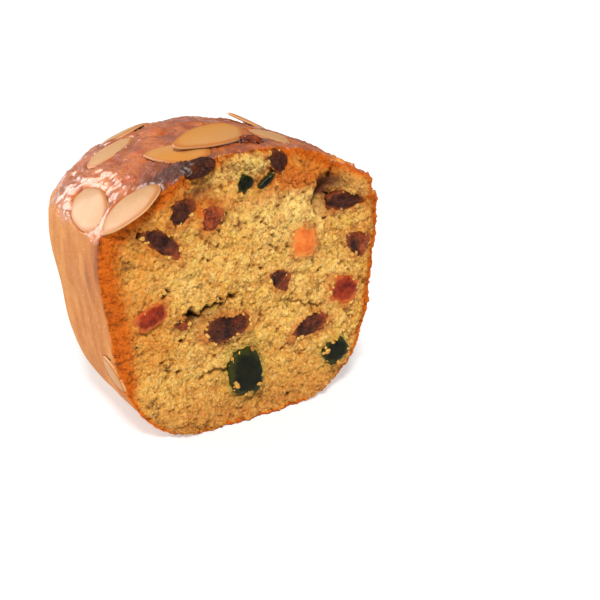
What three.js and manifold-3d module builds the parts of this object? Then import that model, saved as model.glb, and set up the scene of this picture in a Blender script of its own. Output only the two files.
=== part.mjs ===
// One half of a small fruit cake loaf, standing on its base, with the cut face towards -Y.
// The loaf has a bowl-shaped foot, a domed top with almond flakes and a rounded far end.
// Millimetres, +Z up. The origin is on the flat base, 30 mm behind the cut.
import * as THREE from 'three';
import { mergeVertices } from 'three/addons/utils/BufferGeometryUtils.js';
import Module from 'manifold-3d';

const wasm = await Module();
wasm.setup();

// The loaf.
const loafWidth = 86;
const rightShare = 0.94;
const cutY = -30;
const backY = 37;
const straightEnd = -6.5;
const endPower = 2.4;
const rimFront = 58.5;
const rimBack = 54;
const crownHeight = 77.2;
const crownLean = 0.01;
const domePower = 1.95;
const domeEndPower = 6.5;
const shoulderPower = 0.63;
const wallTaper = 2.3;
const bellySwell = 1.6;
const bellyAt = 50;
const bellySpan = 11;
const footInset = 21;
const footHeight = 33;
const surfaceWave = 0.45;

// The cut face, torn back at the top centre where the crust broke away.
const cutWave = 0.35;
const tornDepth = 3.4;
const tornStart = 57;
const tornEnd = 77;
const tornLeft = -12;
const tornRight = 22;
const tornBlend = 12;
const tearStart = { x: 21.5, z: 60 };
const tearRun = { x: 8, z: 9.5 };
const tearLength = Math.hypot(tearRun.x, tearRun.z);
const tearDepth = 5;
const tearHalfWidth = 2.4;
const swells = [
  { x: 27.5, z: 61.5, wide: 4.6, tall: 3.4, back: 2.2 },
  { x: 34, z: 65.5, wide: 4.6, tall: 5.4, back: -4.2 },
  { x: -1, z: 74, wide: 7, tall: 3, back: -2.4 },
  { x: -22, z: 7, wide: 9, tall: 6.5, back: -1.8 },
];

// The toppings and fruit.
const gap = 0.3;
const flakeThickness = 1.2;
const flakeSink = 0.45;

// Mesh fineness.
const sideSteps = 5;
const endSteps = 9;
const frontSteps = 5;
const footLevels = 7;
const wallLevels = 4;
const domeRings = 7;
const faceColumns = 24;
const faceRows = 24;

const clamp = THREE.MathUtils.clamp;
const smooth = THREE.MathUtils.smoothstep;

// Slow unevenness of the baked surface.
function wave(x, y, z) {
  const broad = Math.sin(x / 7.3 + 1.1) * Math.sin(y / 6.1 + 0.4) + Math.sin(z / 8.7 + x / 15);
  const fine = Math.sin(x / 3.4 + y / 4.9) * Math.sin(y / 3.1 - x / 5.7);
  return surfaceWave * (0.7 * broad + 0.5 * fine);
}

// How far the wall stands in from the rim's outline at a height.
function insetAt(z) {
  const taper = wallTaper * (1 - Math.min(z, rimFront) / rimFront);
  const t = clamp(1 - z / footHeight, 0, 1);
  const belly = bellySwell * Math.exp(-(((z - bellyAt) / bellySpan) ** 2));
  return taper + footInset * (1 - Math.sqrt(1 - t * t)) - belly;
}

const rimInset = insetAt(rimFront);

// Half the loaf's width at a distance along it.
function halfWidth(y, inset) {
  const reach = backY - inset - straightEnd;
  const t = clamp((y - straightEnd) / reach, 0, 1);
  return (loafWidth / 2 - inset) * (1 - t ** endPower) ** (1 / endPower);
}

// The domed top's height over a place in the plan.
function topHeight(x, y) {
  const even = x > 0 ? x / rightShare : x;
  const across = clamp(Math.abs(even) / Math.max(halfWidth(y, rimInset), 1e-6), 0, 1);
  const along = clamp((y - cutY) / (backY - cutY), 0, 1);
  const dome = ((1 - across ** domePower) * (1 - along ** domeEndPower)) ** shoulderPower;
  const rim = THREE.MathUtils.lerp(rimFront, rimBack, along ** 1.5);
  return rim + (crownHeight - rim) * dome - crownLean * x + wave(x, y, 0) * Math.min(1, dome * 3);
}

// The plan outline at an inset: along one side, round the end, back, and across the front.
function outline(inset) {
  const front = cutY - 8;
  const half = loafWidth / 2 - inset;
  const reach = backY - inset - straightEnd;
  const points = [];
  for (let i = 0; i < sideSteps; i += 1) {
    points.push([half, THREE.MathUtils.lerp(front, straightEnd, i / sideSteps)]);
  }
  for (let i = 0; i <= 2 * endSteps; i += 1) {
    const a = (Math.PI * i) / (2 * endSteps);
    const c = Math.cos(a);
    const x = half * Math.sign(c) * Math.abs(c) ** (2 / endPower);
    points.push([x, straightEnd + reach * Math.sin(a) ** (2 / endPower)]);
  }
  for (let i = sideSteps - 1; i >= 0; i -= 1) {
    points.push([-half, THREE.MathUtils.lerp(front, straightEnd, i / sideSteps)]);
  }
  for (let i = 1; i < frontSteps; i += 1) {
    points.push([THREE.MathUtils.lerp(-half, half, i / frontSteps), front]);
  }
  return points.map(([x, y]) => [x > 0 ? x * rightShare : x, y]);
}

// A closed shell from rings of equal length, with a middle point below and one above.
function shell(rings, bottom, top) {
  const count = rings[0].length;
  const index = [];
  const bottomAt = rings.length * count;
  for (let r = 0; r < rings.length - 1; r += 1) {
    for (let j = 0; j < count; j += 1) {
      const a = r * count + j;
      const b = r * count + ((j + 1) % count);
      index.push(a, b, b + count, a, b + count, a + count);
    }
  }
  for (let j = 0; j < count; j += 1) {
    const next = (j + 1) % count;
    const last = (rings.length - 1) * count;
    index.push(bottomAt, next, j);
    index.push(bottomAt + 1, last + j, last + next);
  }
  const geometry = new THREE.BufferGeometry();
  const values = [...rings.flat(), bottom, top].flat();
  geometry.setAttribute('position', new THREE.Float32BufferAttribute(values, 3));
  geometry.setIndex(index);
  return geometry;
}

// The whole loaf, running a little past the cut.
function loafShell() {
  const middle = (cutY + backY) / 2;
  const rings = [];
  for (let i = 0; i < footLevels; i += 1) {
    const z = footHeight * (1 - Math.cos((Math.PI / 2) * (i / footLevels)));
    const push = i === 0 ? 0 : 0.5;
    rings.push(outline(insetAt(z)).map(([x, y]) => [x * (1 + (push * wave(0, y * 2, z)) / 43), y, z]));
  }
  for (let i = 0; i <= wallLevels; i += 1) {
    const f = i / wallLevels;
    const flat = footHeight + (rimFront - footHeight) * f;
    rings.push(outline(insetAt(flat)).map(([x, y]) => {
      const z = footHeight + (topHeight(x, y) - footHeight) * f;
      return [x * (1 + (0.5 * (1 - f) * wave(0, y * 2, z)) / 43), y, z];
    }));
  }
  for (let i = 1; i < domeRings; i += 1) {
    const s = Math.cos((Math.PI / 2) * (i / domeRings));
    rings.push(outline(rimInset).map(([x, y]) => {
      const px = x * s;
      const py = middle + (y - middle) * s;
      return [px, py, topHeight(px, py)];
    }));
  }
  return shell(rings, [0, middle, 0], [0, middle, topHeight(0, middle)]);
}

// How far behind the cut's plane the crumb lies.
function relief(x, z) {
  const rough = Math.sin(x / 2.9 + z / 6.1) * Math.sin(z / 3.3 - x / 7.7) + Math.sin(x / 9 + 2) * Math.sin(z / 11);
  const side = smooth(x, tornLeft - tornBlend, tornLeft) * (1 - smooth(x, tornRight, tornRight + tornBlend));
  const torn = tornDepth * side * smooth(z, tornStart, tornEnd);
  const t = clamp(((x - tearStart.x) * tearRun.x + (z - tearStart.z) * tearRun.z) / tearLength ** 2, 0, 1);
  const apart = Math.hypot(x - tearStart.x - t * tearRun.x, z - tearStart.z - t * tearRun.z);
  const tear = tearDepth * Math.exp(-((apart / tearHalfWidth) ** 2));
  let swell = 0;
  for (const { x: atX, z: atZ, wide, tall, back } of swells) {
    swell += back * Math.exp(-(((x - atX) / wide) ** 2) - ((z - atZ) / tall) ** 2);
  }
  return cutWave * rough + torn + tear + swell;
}

function faceY(x, z) {
  return cutY + relief(x, z);
}

// A block whose front is the cut face, for taking the loaf down to its half.
function cutBlock() {
  const halfSpan = 50;
  const low = -6;
  const high = 92;
  const far = backY + 20;
  const row = (j) => THREE.MathUtils.lerp(low, high, j / faceRows);
  const column = (i) => THREE.MathUtils.lerp(-halfSpan, halfSpan, i / faceColumns);
  const position = [];
  const index = [];
  for (const back of [false, true]) {
    for (let j = 0; j <= faceRows; j += 1) {
      for (let i = 0; i <= faceColumns; i += 1) {
        position.push(column(i), back ? far : faceY(column(i), row(j)), row(j));
      }
    }
  }
  const across = faceColumns + 1;
  const total = across * (faceRows + 1);
  for (let j = 0; j < faceRows; j += 1) {
    for (let i = 0; i < faceColumns; i += 1) {
      const a = j * across + i;
      index.push(a, a + 1, a + across + 1, a, a + across + 1, a + across);
      index.push(total + a, total + a + across + 1, total + a + 1);
      index.push(total + a, total + a + across, total + a + across + 1);
    }
  }
  const wall = (a, b) => index.push(a, a + total, b + total, a, b + total, b);
  for (let i = 0; i < faceColumns; i += 1) {
    wall(i, i + 1);
    wall(total - 1 - i, total - 2 - i);
  }
  for (let j = 0; j < faceRows; j += 1) {
    wall(j * across + across, j * across);
    wall(j * across + across - 1, j * across + 2 * across - 1);
  }
  const geometry = new THREE.BufferGeometry();
  geometry.setAttribute('position', new THREE.Float32BufferAttribute(position, 3));
  geometry.setIndex(index);
  return geometry;
}

function toSolid(geometry) {
  const bare = geometry.clone();
  bare.deleteAttribute('normal');
  bare.deleteAttribute('uv');
  const merged = mergeVertices(bare, 1e-4);
  return new wasm.Manifold(new wasm.Mesh({
    numProp: 3,
    vertProperties: new Float32Array(merged.attributes.position.array),
    triVerts: new Uint32Array(merged.index.array),
  }));
}

function toGeometry(solid) {
  const mesh = solid.getMesh();
  const geometry = new THREE.BufferGeometry();
  geometry.setAttribute('position', new THREE.BufferAttribute(mesh.vertProperties, 3));
  geometry.setIndex(new THREE.BufferAttribute(mesh.triVerts, 1));
  geometry.computeVertexNormals();
  return geometry;
}

// A round or boxy lump of fruit in the cut face, wide in front and set into the crumb behind.
function fruitGeometry(fruit, grow) {
  const { x, z, long, short, turn = 0, boxy = 2, bulge = 1.0, depth = 4.5, seed = 0, lift = 0 } = fruit;
  const fine = long > 9;
  const geometry = new THREE.SphereGeometry(1, fine ? 12 : 10, fine ? 7 : 6);
  const at = geometry.attributes.position;
  const v = new THREE.Vector3();
  const spin = new THREE.Matrix4().makeRotationY(-THREE.MathUtils.degToRad(turn));
  for (let i = 0; i < at.count; i += 1) {
    v.fromBufferAttribute(at, i);
    const power = Math.abs(v.x) ** boxy + Math.abs(v.y) ** boxy + Math.abs(v.z) ** boxy;
    const angle = Math.atan2(v.z, v.x);
    const lobes = 0.8 * Math.sin(2 * angle + seed * 1.7) + Math.sin(3 * angle + seed * 2.9);
    const crease = (boxy > 2.7 ? 0.035 : 0.09) * Math.hypot(v.x, v.z);
    const folds = 1 + crease * (lobes + 0.4 * Math.sin(5 * angle + seed));
    v.multiplyScalar(power ** (-1 / boxy) * folds);
    v.x *= long / 2 + grow;
    v.z *= short / 2 + grow;
    v.y *= (v.y < 0 ? bulge : depth) + grow;
    v.applyMatrix4(spin);
    at.setXYZ(i, v.x + x, v.y + faceY(x, z) + lift, v.z + z);
  }
  return geometry;
}

// A point of the loaf's skin and the way out of it, on the top or on a side wall.
function skinFrame(place) {
  const step = 0.5;
  const point = new THREE.Vector3();
  const out = new THREE.Vector3();
  if (place.side) {
    const wallX = (y, z) => place.side * halfWidth(y, insetAt(z));
    const { y, z } = place;
    const acrossY = (wallX(y + step, z) - wallX(y - step, z)) / (2 * step);
    const acrossZ = (wallX(y, z + step) - wallX(y, z - step)) / (2 * step);
    point.set(wallX(y, z), y, z);
    out.set(1, -acrossY, -acrossZ).multiplyScalar(place.side).normalize();
    return { point, out };
  }
  const { x, y } = place;
  const slopeX = (topHeight(x + step, y) - topHeight(x - step, y)) / (2 * step);
  const slopeY = (topHeight(x, y + step) - topHeight(x, y - step)) / (2 * step);
  point.set(x, y, topHeight(x, y));
  out.set(-slopeX, -slopeY, 1).normalize();
  return { point, out };
}

// A thin almond flake, egg-shaped in plan, bent to the dome and pressed into the crust.
function flakeGeometry(flake, grow) {
  const { long, wide, turn = 0, bend = 60, lift = 0, tipUp = 0, roll = 0, point: tip = 0.25 } = flake;
  const { point, out } = skinFrame(flake);
  const geometry = new THREE.SphereGeometry(1, 16, 5);
  geometry.rotateX(Math.PI / 2);
  const at = geometry.attributes.position;
  const v = new THREE.Vector3();
  const start = flake.side ? new THREE.Vector3(0, -1, 0) : new THREE.Vector3(1, 0, 0);
  const along = start.sub(out.clone().multiplyScalar(start.dot(out))).normalize();
  const basis = new THREE.Matrix4().makeBasis(along, out.clone().cross(along), out);
  const spin = new THREE.Matrix4().makeRotationZ(THREE.MathUtils.degToRad(turn));
  const pitch = new THREE.Matrix4().makeRotationY(-THREE.MathUtils.degToRad(tipUp));
  const tilt = new THREE.Matrix4().makeRotationX(THREE.MathUtils.degToRad(roll));
  const placed = basis.multiply(spin).multiply(pitch).multiply(tilt);
  const half = flakeThickness / 2;
  for (let i = 0; i < at.count; i += 1) {
    v.fromBufferAttribute(at, i);
    const flatTop = Math.sign(v.z) * Math.abs(v.z) ** 0.5;
    v.z = flatTop * (half + grow);
    v.y *= (wide / 2) * (1 - tip * v.x - 0.12 * v.x * v.x) + grow;
    v.x *= long / 2 + grow;
    v.z += (half - flakeSink + lift) - (v.x * v.x + v.y * v.y) / (2 * bend);
    v.applyMatrix4(placed).add(point);
    at.setXYZ(i, v.x, v.y, v.z);
  }
  return geometry;
}

// Fruit in the cut face. x and z are in the cut's plane; turn is the long way's angle.
const fruits = {
  raisin_1: { kind: 'raisin', x: -21.4, z: 65.2, long: 8.4, short: 6.8, turn: 40, seed: 1 },
  raisin_2: { kind: 'raisin', x: -12.9, z: 61.9, long: 7.8, short: 7.2, turn: 80, seed: 2 },
  raisin_3: { kind: 'raisin', x: -27, z: 57.6, long: 15, short: 5.6, turn: -42, seed: 3 },
  raisin_4: { kind: 'raisin', x: -22.6, z: 34.2, long: 6, short: 3.4, turn: -25, seed: 4, depth: 3 },
  raisin_5: { kind: 'raisin', x: -9.6, z: 30.2, long: 15, short: 8.8, turn: 8, seed: 5, bulge: 1.2 },
  raisin_6: { kind: 'raisin', x: 8.8, z: 73.4, long: 8.6, short: 6, turn: -38, seed: 6, bulge: 1.6 },
  raisin_7: { kind: 'raisin', x: 29.6, z: 59.2, long: 14.6, short: 5.6, turn: -4, seed: 7, bulge: 1.6 },
  raisin_8: { kind: 'raisin', x: 17.5, z: 24.5, long: 13, short: 7.4, turn: 14, seed: 8 },
  raisin_9: { kind: 'raisin', x: 33.6, z: 46, long: 7.4, short: 9.4, turn: 20, seed: 9 },
  raisin_10: { kind: 'raisin', x: 7.5, z: 40.5, long: 8.6, short: 5.8, turn: -35, seed: 10 },
  cherry_piece_1: { kind: 'cherry', x: -31.5, z: 38.5, long: 10.2, short: 5.8, turn: 24, boxy: 3.2 },
  cherry_piece_2: { kind: 'cherry', x: 28.4, z: 33, long: 10, short: 8.6, turn: -14, boxy: 4, seed: 2 },
  orange_piece_1: { kind: 'orange', x: 15.2, z: 50, long: 8, short: 8.8, turn: 6, boxy: 4, seed: 3 },
  green_piece_1: { kind: 'green', x: -3.8, z: 15.2, long: 14.6, short: 10.4, turn: -82, boxy: 2.8, bulge: 1.4 },
  green_piece_2: { kind: 'green', x: -2, z: 69.2, long: 5.2, short: 4.6, turn: -60, boxy: 2.4, depth: 3, seed: 6 },
  green_piece_3: { kind: 'green', x: 4.6, z: 68.6, long: 6.6, short: 2, turn: 30, boxy: 2.6, depth: 2.6 },
  green_piece_4: { kind: 'green', x: 25.6, z: 14.6, long: 8, short: 7.6, turn: 32, boxy: 4, seed: 5 },
};

// Raisins under the glaze near the cut's top edge.
const glazedRaisins = {
  raisin_11: { x: -14.8, y: -26.4, long: 11.5, wide: 8.4, turn: 18, tall: 4.4 },
  raisin_12: { x: 4.8, y: -18.5, long: 9.5, wide: 7.4, turn: -16, tall: 5.6 },
};

// Almond flakes on the top, and one low on a side wall.
const flakes = {
  almond_flake_1: { x: -39.2, y: -11.6, long: 21, wide: 11, turn: 77, bend: 34, tip: 0.1 },
  almond_flake_2: { x: -35, y: -28.2, long: 19, wide: 12, turn: 184, bend: 44, tip: 0.2 },
  almond_flake_3: { x: -14.8, y: -14.6, long: 18.6, wide: 10.8, turn: 134, bend: 60, lift: 0.1, roll: -6 },
  almond_flake_4: { x: -4.6, y: -13.7, long: 22.4, wide: 11.4, turn: 188, bend: 75, lift: 2.3, roll: -17 },
  almond_flake_5: { x: -23.6, y: 8.2, long: 17.5, wide: 8.6, turn: 20, bend: 46 },
  almond_flake_6: { x: 23, y: 9.6, long: 19, wide: 10.6, turn: 160, bend: 60, lift: 0.7, tipUp: 10, tip: 0.3 },
  almond_flake_7: { x: 15.6, y: -12.4, long: 18, wide: 9.2, turn: -84, bend: 48 },
  almond_flake_8: { side: -1, y: -24.2, z: 22, long: 11.4, wide: 6.6, turn: -40, bend: 60 },
  almond_flake_9: { x: 34.5, y: -7.5, long: 18.4, wide: 10.8, turn: 70, bend: 34 },
  almond_flake_10: { x: -12.4, y: 22.4, long: 20, wide: 12, turn: 12, bend: 34 },
  almond_flake_11: { x: 9.5, y: 25, long: 18.6, wide: 11.2, turn: -24, bend: 34 },
};

const looks = {
  cake: { color: 0xdba352, roughness: 0.85, metalness: 0 },
  raisin: { color: 0x5a3226, roughness: 0.45, metalness: 0 },
  cherry: { color: 0x9a3a26, roughness: 0.3, metalness: 0 },
  orange: { color: 0xe08238, roughness: 0.3, metalness: 0 },
  green: { color: 0x2f3a14, roughness: 0.3, metalness: 0 },
  almond: { color: 0xe8c49a, roughness: 0.5, metalness: 0 },
};

const loaf = new THREE.Group();

function addPiece(name, geometry, look) {
  const mesh = new THREE.Mesh(geometry, new THREE.MeshStandardMaterial(looks[look]));
  mesh.name = name;
  loaf.add(mesh);
}

// A raisin lying in the crust of the top.
function glazedRaisin(raisin, grow) {
  const { point, out } = skinFrame(raisin);
  const geometry = new THREE.SphereGeometry(1, 12, 7);
  geometry.scale(raisin.long / 2 + grow, raisin.wide / 2 + grow, raisin.tall / 2 + grow);
  geometry.rotateZ(THREE.MathUtils.degToRad(raisin.turn));
  geometry.applyQuaternion(new THREE.Quaternion().setFromUnitVectors(new THREE.Vector3(0, 0, 1), out));
  const sink = raisin.tall * 0.12;
  geometry.translate(point.x - out.x * sink, point.y - out.y * sink, point.z - out.z * sink);
  return geometry;
}

let body = toSolid(loafShell()).intersect(toSolid(cutBlock()));
const flakePockets = [];

for (const [name, fruit] of Object.entries(fruits)) {
  body = body.subtract(toSolid(fruitGeometry(fruit, gap)));
  addPiece(name, fruitGeometry(fruit, 0), fruit.kind);
}

for (const [name, raisin] of Object.entries(glazedRaisins)) {
  body = body.subtract(toSolid(glazedRaisin(raisin, gap)));
  flakePockets.push(toSolid(glazedRaisin(raisin, gap)));
  addPiece(name, glazedRaisin(raisin, 0), 'raisin');
}

for (const [name, flake] of Object.entries(flakes)) {
  let solid = toSolid(flakeGeometry(flake, 0));
  for (const pocket of flakePockets) {
    solid = solid.subtract(pocket);
  }
  flakePockets.push(toSolid(flakeGeometry(flake, gap)));
  body = body.subtract(toSolid(flakeGeometry(flake, gap)));
  addPiece(name, toGeometry(solid), 'almond');
}

addPiece('cake_body', toGeometry(body), 'cake');

export default loaf;
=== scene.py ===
import math

import bmesh
import bpy
import numpy as np
from mathutils import Matrix, Vector
from mathutils.bvhtree import BVHTree


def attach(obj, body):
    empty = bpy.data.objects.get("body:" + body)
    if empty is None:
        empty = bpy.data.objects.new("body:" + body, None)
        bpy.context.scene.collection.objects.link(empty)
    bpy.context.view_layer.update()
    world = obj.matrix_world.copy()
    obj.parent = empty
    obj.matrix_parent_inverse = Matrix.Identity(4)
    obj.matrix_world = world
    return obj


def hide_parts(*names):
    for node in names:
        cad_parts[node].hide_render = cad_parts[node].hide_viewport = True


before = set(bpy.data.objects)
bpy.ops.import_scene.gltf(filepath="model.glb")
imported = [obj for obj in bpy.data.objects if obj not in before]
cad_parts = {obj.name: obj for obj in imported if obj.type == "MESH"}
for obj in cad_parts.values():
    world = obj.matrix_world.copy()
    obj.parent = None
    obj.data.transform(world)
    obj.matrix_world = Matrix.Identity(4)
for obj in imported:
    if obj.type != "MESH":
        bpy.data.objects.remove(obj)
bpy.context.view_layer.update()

mm = 0.001

# The half loaf, in millimetres, as in the solid model: cut face towards -Y, base on z = 0.
loaf = {
    "width": 86.0, "rightShare": 0.94, "cutY": -30.0, "backY": 37.0, "straightEnd": -6.5, "endPower": 2.4,
    "rimFront": 58.5, "rimBack": 54.0, "rimCurve": 1.5, "crown": 77.2, "lean": 0.01, "wave": 0.45,
    "belly": 1.6, "bellyAt": 50.0, "bellySpan": 11.0, "taper": 2.3, "footInset": 21.0, "footHeight": 33.0,
    "domePower": 1.95, "domeEndPower": 6.5, "shoulderPower": 0.63, "waveRise": 3,
}

fineness = {  # how finely the loaf is meshed: point spacing, and the length that each run of rings covers
    "crustSpacing": 0.77, "crumbSpacing": 0.32, "pastCut": 6, "endBlend": 5, "sideWave": 0.5,
    "endArc": 118, "frontShare": 0.85, "footRun": 46, "wallRun": 26, "domeRun": 52,
    "thinning": ((0.56, 1), (0.28, 2), (0.14, 4), (-1, 8)),  # rings shrink past a share: points halve
}

# The relief of the cut. Each spot is x, z, width, height and depth; a hole is x, z and width.
cutFace = {
    "wave": 0.35, "tornDepth": 3.4, "tornStart": 57.0, "tornEnd": 77.0,
    "tornLeft": -12.0, "tornRight": 22.0, "tornBlend": 12.0,
    "tearStart": (21.5, 60.0), "tearEnd": (29.5, 69.5), "tearDepth": 5.0, "tearHalfWidth": 2.4,
    "bevelDepth": 2.2, "bevelWidth": 6.0, "bevelTop": 6,
    "swells": ((27.5, 61.5, 4.6, 3.4, 2.2), (34.0, 65.5, 4.6, 5.4, -4.2), (-1.0, 74.0, 7.0, 3.0, -2.4),
               (-22.0, 7.0, 9.0, 6.5, -1.8)),
    "rips": ((-10.0, 77.0, 3.0, 1.6, 1.4), (-3.5, 69.3, 5.5, 2.4, 0.6), (8.0, 71.5, 2.2, 1.6, 1.4),
             (13.5, 71.0, 4.0, 2.6, -1.3), (18.5, 68.0, 3.6, 3.0, -1.2), (22.5, 64.5, 1.8, 3.4, 2.2),
             (12.0, 62.0, 5.0, 2.2, 1.2), (-8.0, 61.0, 2.6, 1.6, 1.5), (-27.0, 22.0, 3.0, 2.0, 0.9),
             (-12.0, 12.5, 5.0, 1.4, 1.2), (20.0, 38.0, 5.0, 3.0, -0.8), (-34.0, 12.0, 3.0, 4.0, -1.0)),
    "holes": ((-20.2, 36.3, 1.3), (-19.2, 34.6, 0.9), (-11.2, 39.2, 0.6), (-23.2, 28.6, 0.7), (-24.4, 20.6, 0.5),
              (-33.2, 61.0, 0.9), (-9.3, 61.4, 0.8), (-26.0, 44.0, 0.5), (2.0, 45.0, 0.6), (22.5, 55.5, 0.7),
              (9.0, 20.0, 0.6), (-15.0, 51.0, 0.5), (31.0, 24.0, 0.6)),
    "holeDepth": 4.0,
}

cracks = [  # broken lines in the crumb: points along each, width and depth
    ([(-5.5, 39.4), (-8.9, 37.8), (-11.6, 36.8), (-14.4, 37.2), (-17.4, 35.4), (-20.6, 36.1)], 0.75, 3.2),
    ([(-17.5, 17.0), (-13.8, 18.2), (-10.2, 17.4), (-8.4, 18.8)], 0.6, 1.8),
    ([(-29.0, 25.0), (-26.8, 21.0), (-27.6, 17.6)], 0.5, 1.2),
    ([(2.5, 58.5), (5.6, 54.2), (4.8, 49.5)], 0.45, 1.6),
    ([(10.5, 33.2), (15.4, 31.6), (21.2, 29.8)], 0.5, 1.8),
]


# Small helpers.
def smoothStep(v, low, high):
    t = np.clip((v - low) / (high - low), 0, 1)
    return t * t * (3 - 2 * t)


def softSpots(x, z, spots):
    return sum(strength * np.exp(-((x - atX) / wide) ** 2 - ((z - atZ) / tall) ** 2)
               for atX, atZ, wide, tall, strength in spots)


def patchNoise(x, z, size, seed):
    count = 128
    grid = np.random.default_rng(seed).random((count, count)) * 2 - 1
    u, v = np.asarray(x) / size + 60, np.asarray(z) / size + 60
    i, j = np.floor(u).astype(int), np.floor(v).astype(int)
    fu, fv = smoothStep(u - i, 0, 1), smoothStep(v - j, 0, 1)
    at = lambda a, b: grid[a % count, b % count]
    low = at(i, j) * (1 - fu) + at(i + 1, j) * fu
    high = at(i, j + 1) * (1 - fu) + at(i + 1, j + 1) * fu
    return low * (1 - fv) + high * fv


def meshFrom(name, points, faces):
    made = bpy.data.meshes.new(name)
    made.from_pydata((np.asarray(points) * mm).tolist(), [], faces)
    made.update()
    made.shade_smooth()
    return made


def addObject(name, data):
    thing = bpy.data.objects.new(name, data)
    bpy.context.scene.collection.objects.link(thing)
    return thing


def readOut(layer, count, field, width=3):
    values = np.empty(count * width)
    layer.foreach_get(field, values)
    return values.reshape(-1, width) if width > 1 else values


def rawPoints(data):
    return readOut(data.vertices, len(data.vertices), "co")


def pointsOf(data):
    return rawPoints(data) / mm


def setPoints(data, points):
    data.vertices.foreach_set("co", (np.asarray(points) * mm).ravel())
    data.update()


def setValue(data, name, values):
    layer = data.attributes.get(name) or data.attributes.new(name, "FLOAT", "POINT")
    layer.data.foreach_set("value", np.asarray(values, dtype=np.float32))


def triangles(data):
    return sum(len(p.vertices) - 2 for p in data.polygons)


def evaluated(thing):
    bpy.context.view_layer.update()
    graph = bpy.context.evaluated_depsgraph_get()
    made = thing.evaluated_get(graph)
    return bpy.data.meshes.new_from_object(made, preserve_all_data_layers=True, depsgraph=graph)


# Node helpers. A number goes on the socket itself and another node's output is linked.
def connect(tree, socket, value):
    if isinstance(value, bpy.types.NodeSocket):
        tree.links.new(value, socket)
    else:
        socket.default_value = value


def node(tree, kind, inputs=None, **settings):
    made = tree.nodes.new(kind)
    for key, value in settings.items():
        setattr(made, key, value)
    for key, value in (inputs or {}).items():
        connect(tree, made.inputs[key], value)
    return made


def maths(tree, operation, a, b=0.0, c=0.0, clampIt=False):
    return node(tree, "ShaderNodeMath", {0: a, 1: b, 2: c}, operation=operation, use_clamp=clampIt).outputs[0]


def chain(operation):
    def joined(tree, first, *others):
        for other in others:
            first = maths(tree, operation, first, other)
        return first
    return joined


times, plus, minus = chain("MULTIPLY"), chain("ADD"), chain("SUBTRACT")


def vectorMaths(tree, operation, a, b=(0, 0, 0), output=0, **inputs):
    return node(tree, "ShaderNodeVectorMath", {0: a, 1: b, **inputs}, operation=operation).outputs[output]


def scaled(tree, vector, by):
    return vectorMaths(tree, "SCALE", vector, Scale=by)


def shifted(tree, vector, by):
    return vectorMaths(tree, "ADD", vector, by)


def stretched(tree, vector, by):
    return vectorMaths(tree, "MULTIPLY", vector, by)


def gapTo(tree, vector, spot):  # distance
    return vectorMaths(tree, "DISTANCE", vector, spot, "Value")


def placeInMm(tree):
    if tree.type == "GEOMETRY":
        return scaled(tree, node(tree, "GeometryNodeInputPosition").outputs[0], 1 / mm)
    return scaled(tree, node(tree, "ShaderNodeTexCoord").outputs["Object"], 1 / mm)


def axes(tree, vector):
    return node(tree, "ShaderNodeSeparateXYZ", {0: vector}).outputs


def ramp(tree, value, low, high, toLow=0.0, toHigh=1.0, smooth=True):
    kind = "SMOOTHSTEP" if smooth else "LINEAR"
    return node(tree, "ShaderNodeMapRange", {"Value": value, "From Min": low, "From Max": high, "To Min": toLow,
                                             "To Max": toHigh}, interpolation_type=kind).outputs["Result"]


def noise(tree, vector, size, detail=2.0, roughness=0.5, distortion=0.0, output=0):
    return node(tree, "ShaderNodeTexNoise", {"Vector": vector, "Scale": 1.0 / size, "Detail": detail,
                                             "Roughness": roughness, "Distortion": distortion}).outputs[output]


def swing(tree, *settings):  # noise about zero
    return minus(tree, noise(tree, *settings), 0.5)


def cells(tree, vector, size):
    return node(tree, "ShaderNodeTexVoronoi", {"Vector": vector, "Scale": 1.0 / size}).outputs


def folds(tree, vector, size, detail, roughness, distortion, power=5.0):  # thin creases where noise turns
    turned = maths(tree, "MULTIPLY_ADD", noise(tree, vector, size, detail, roughness, distortion), 2.0, -1.0)
    return maths(tree, "POWER", minus(tree, 1.0, maths(tree, "ABSOLUTE", turned)), power)


socketKinds = {float: "NodeSocketFloat", int: "NodeSocketInt", tuple: "NodeSocketColor",
               type(None): "NodeSocketMaterial"}


def addInputs(tree, inputs):
    for label, value in inputs.items():
        socket = tree.interface.new_socket(label, in_out="INPUT", socket_type=socketKinds[type(value)])
        if value is not None:
            socket.default_value = value


def geometryTree(name, inputs):
    tree = bpy.data.node_groups.new(name, "GeometryNodeTree")
    tree.interface.new_socket("Geometry", in_out="INPUT", socket_type="NodeSocketGeometry")
    addInputs(tree, inputs)
    tree.interface.new_socket("Geometry", in_out="OUTPUT", socket_type="NodeSocketGeometry")
    return tree, tree.nodes.new("NodeGroupInput").outputs, tree.nodes.new("NodeGroupOutput")


def moved(tree, geometry, offset):
    return node(tree, "GeometryNodeSetPosition", {"Geometry": geometry, "Offset": offset}).outputs[0]


def stored(tree, geometry, name, value, domain="POINT"):
    return node(tree, "GeometryNodeStoreNamedAttribute", {"Geometry": geometry, "Name": name, "Value": value},
                data_type="FLOAT", domain=domain).outputs[0]


def readValue(tree, name):
    return node(tree, "GeometryNodeInputNamedAttribute", {"Name": name}, data_type="FLOAT").outputs[0]


def runTree(thing, tree, values):
    modifier = thing.modifiers.new(tree.name, "NODES")
    modifier.node_group = tree
    for item in tree.interface.items_tree:
        if item.in_out == "INPUT" and item.name in values:
            modifier[item.identifier] = values[item.name]
    result = evaluated(thing)
    thing.modifiers.remove(modifier)
    return result


# The loaf's form.
def wave(x, y, z):
    broad = np.sin(x / 7.3 + 1.1) * np.sin(y / 6.1 + 0.4) + np.sin(z / 8.7 + x / 15)
    fine = np.sin(x / 3.4 + y / 4.9) * np.sin(y / 3.1 - x / 5.7)
    return loaf["wave"] * (0.7 * broad + 0.5 * fine)


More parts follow.
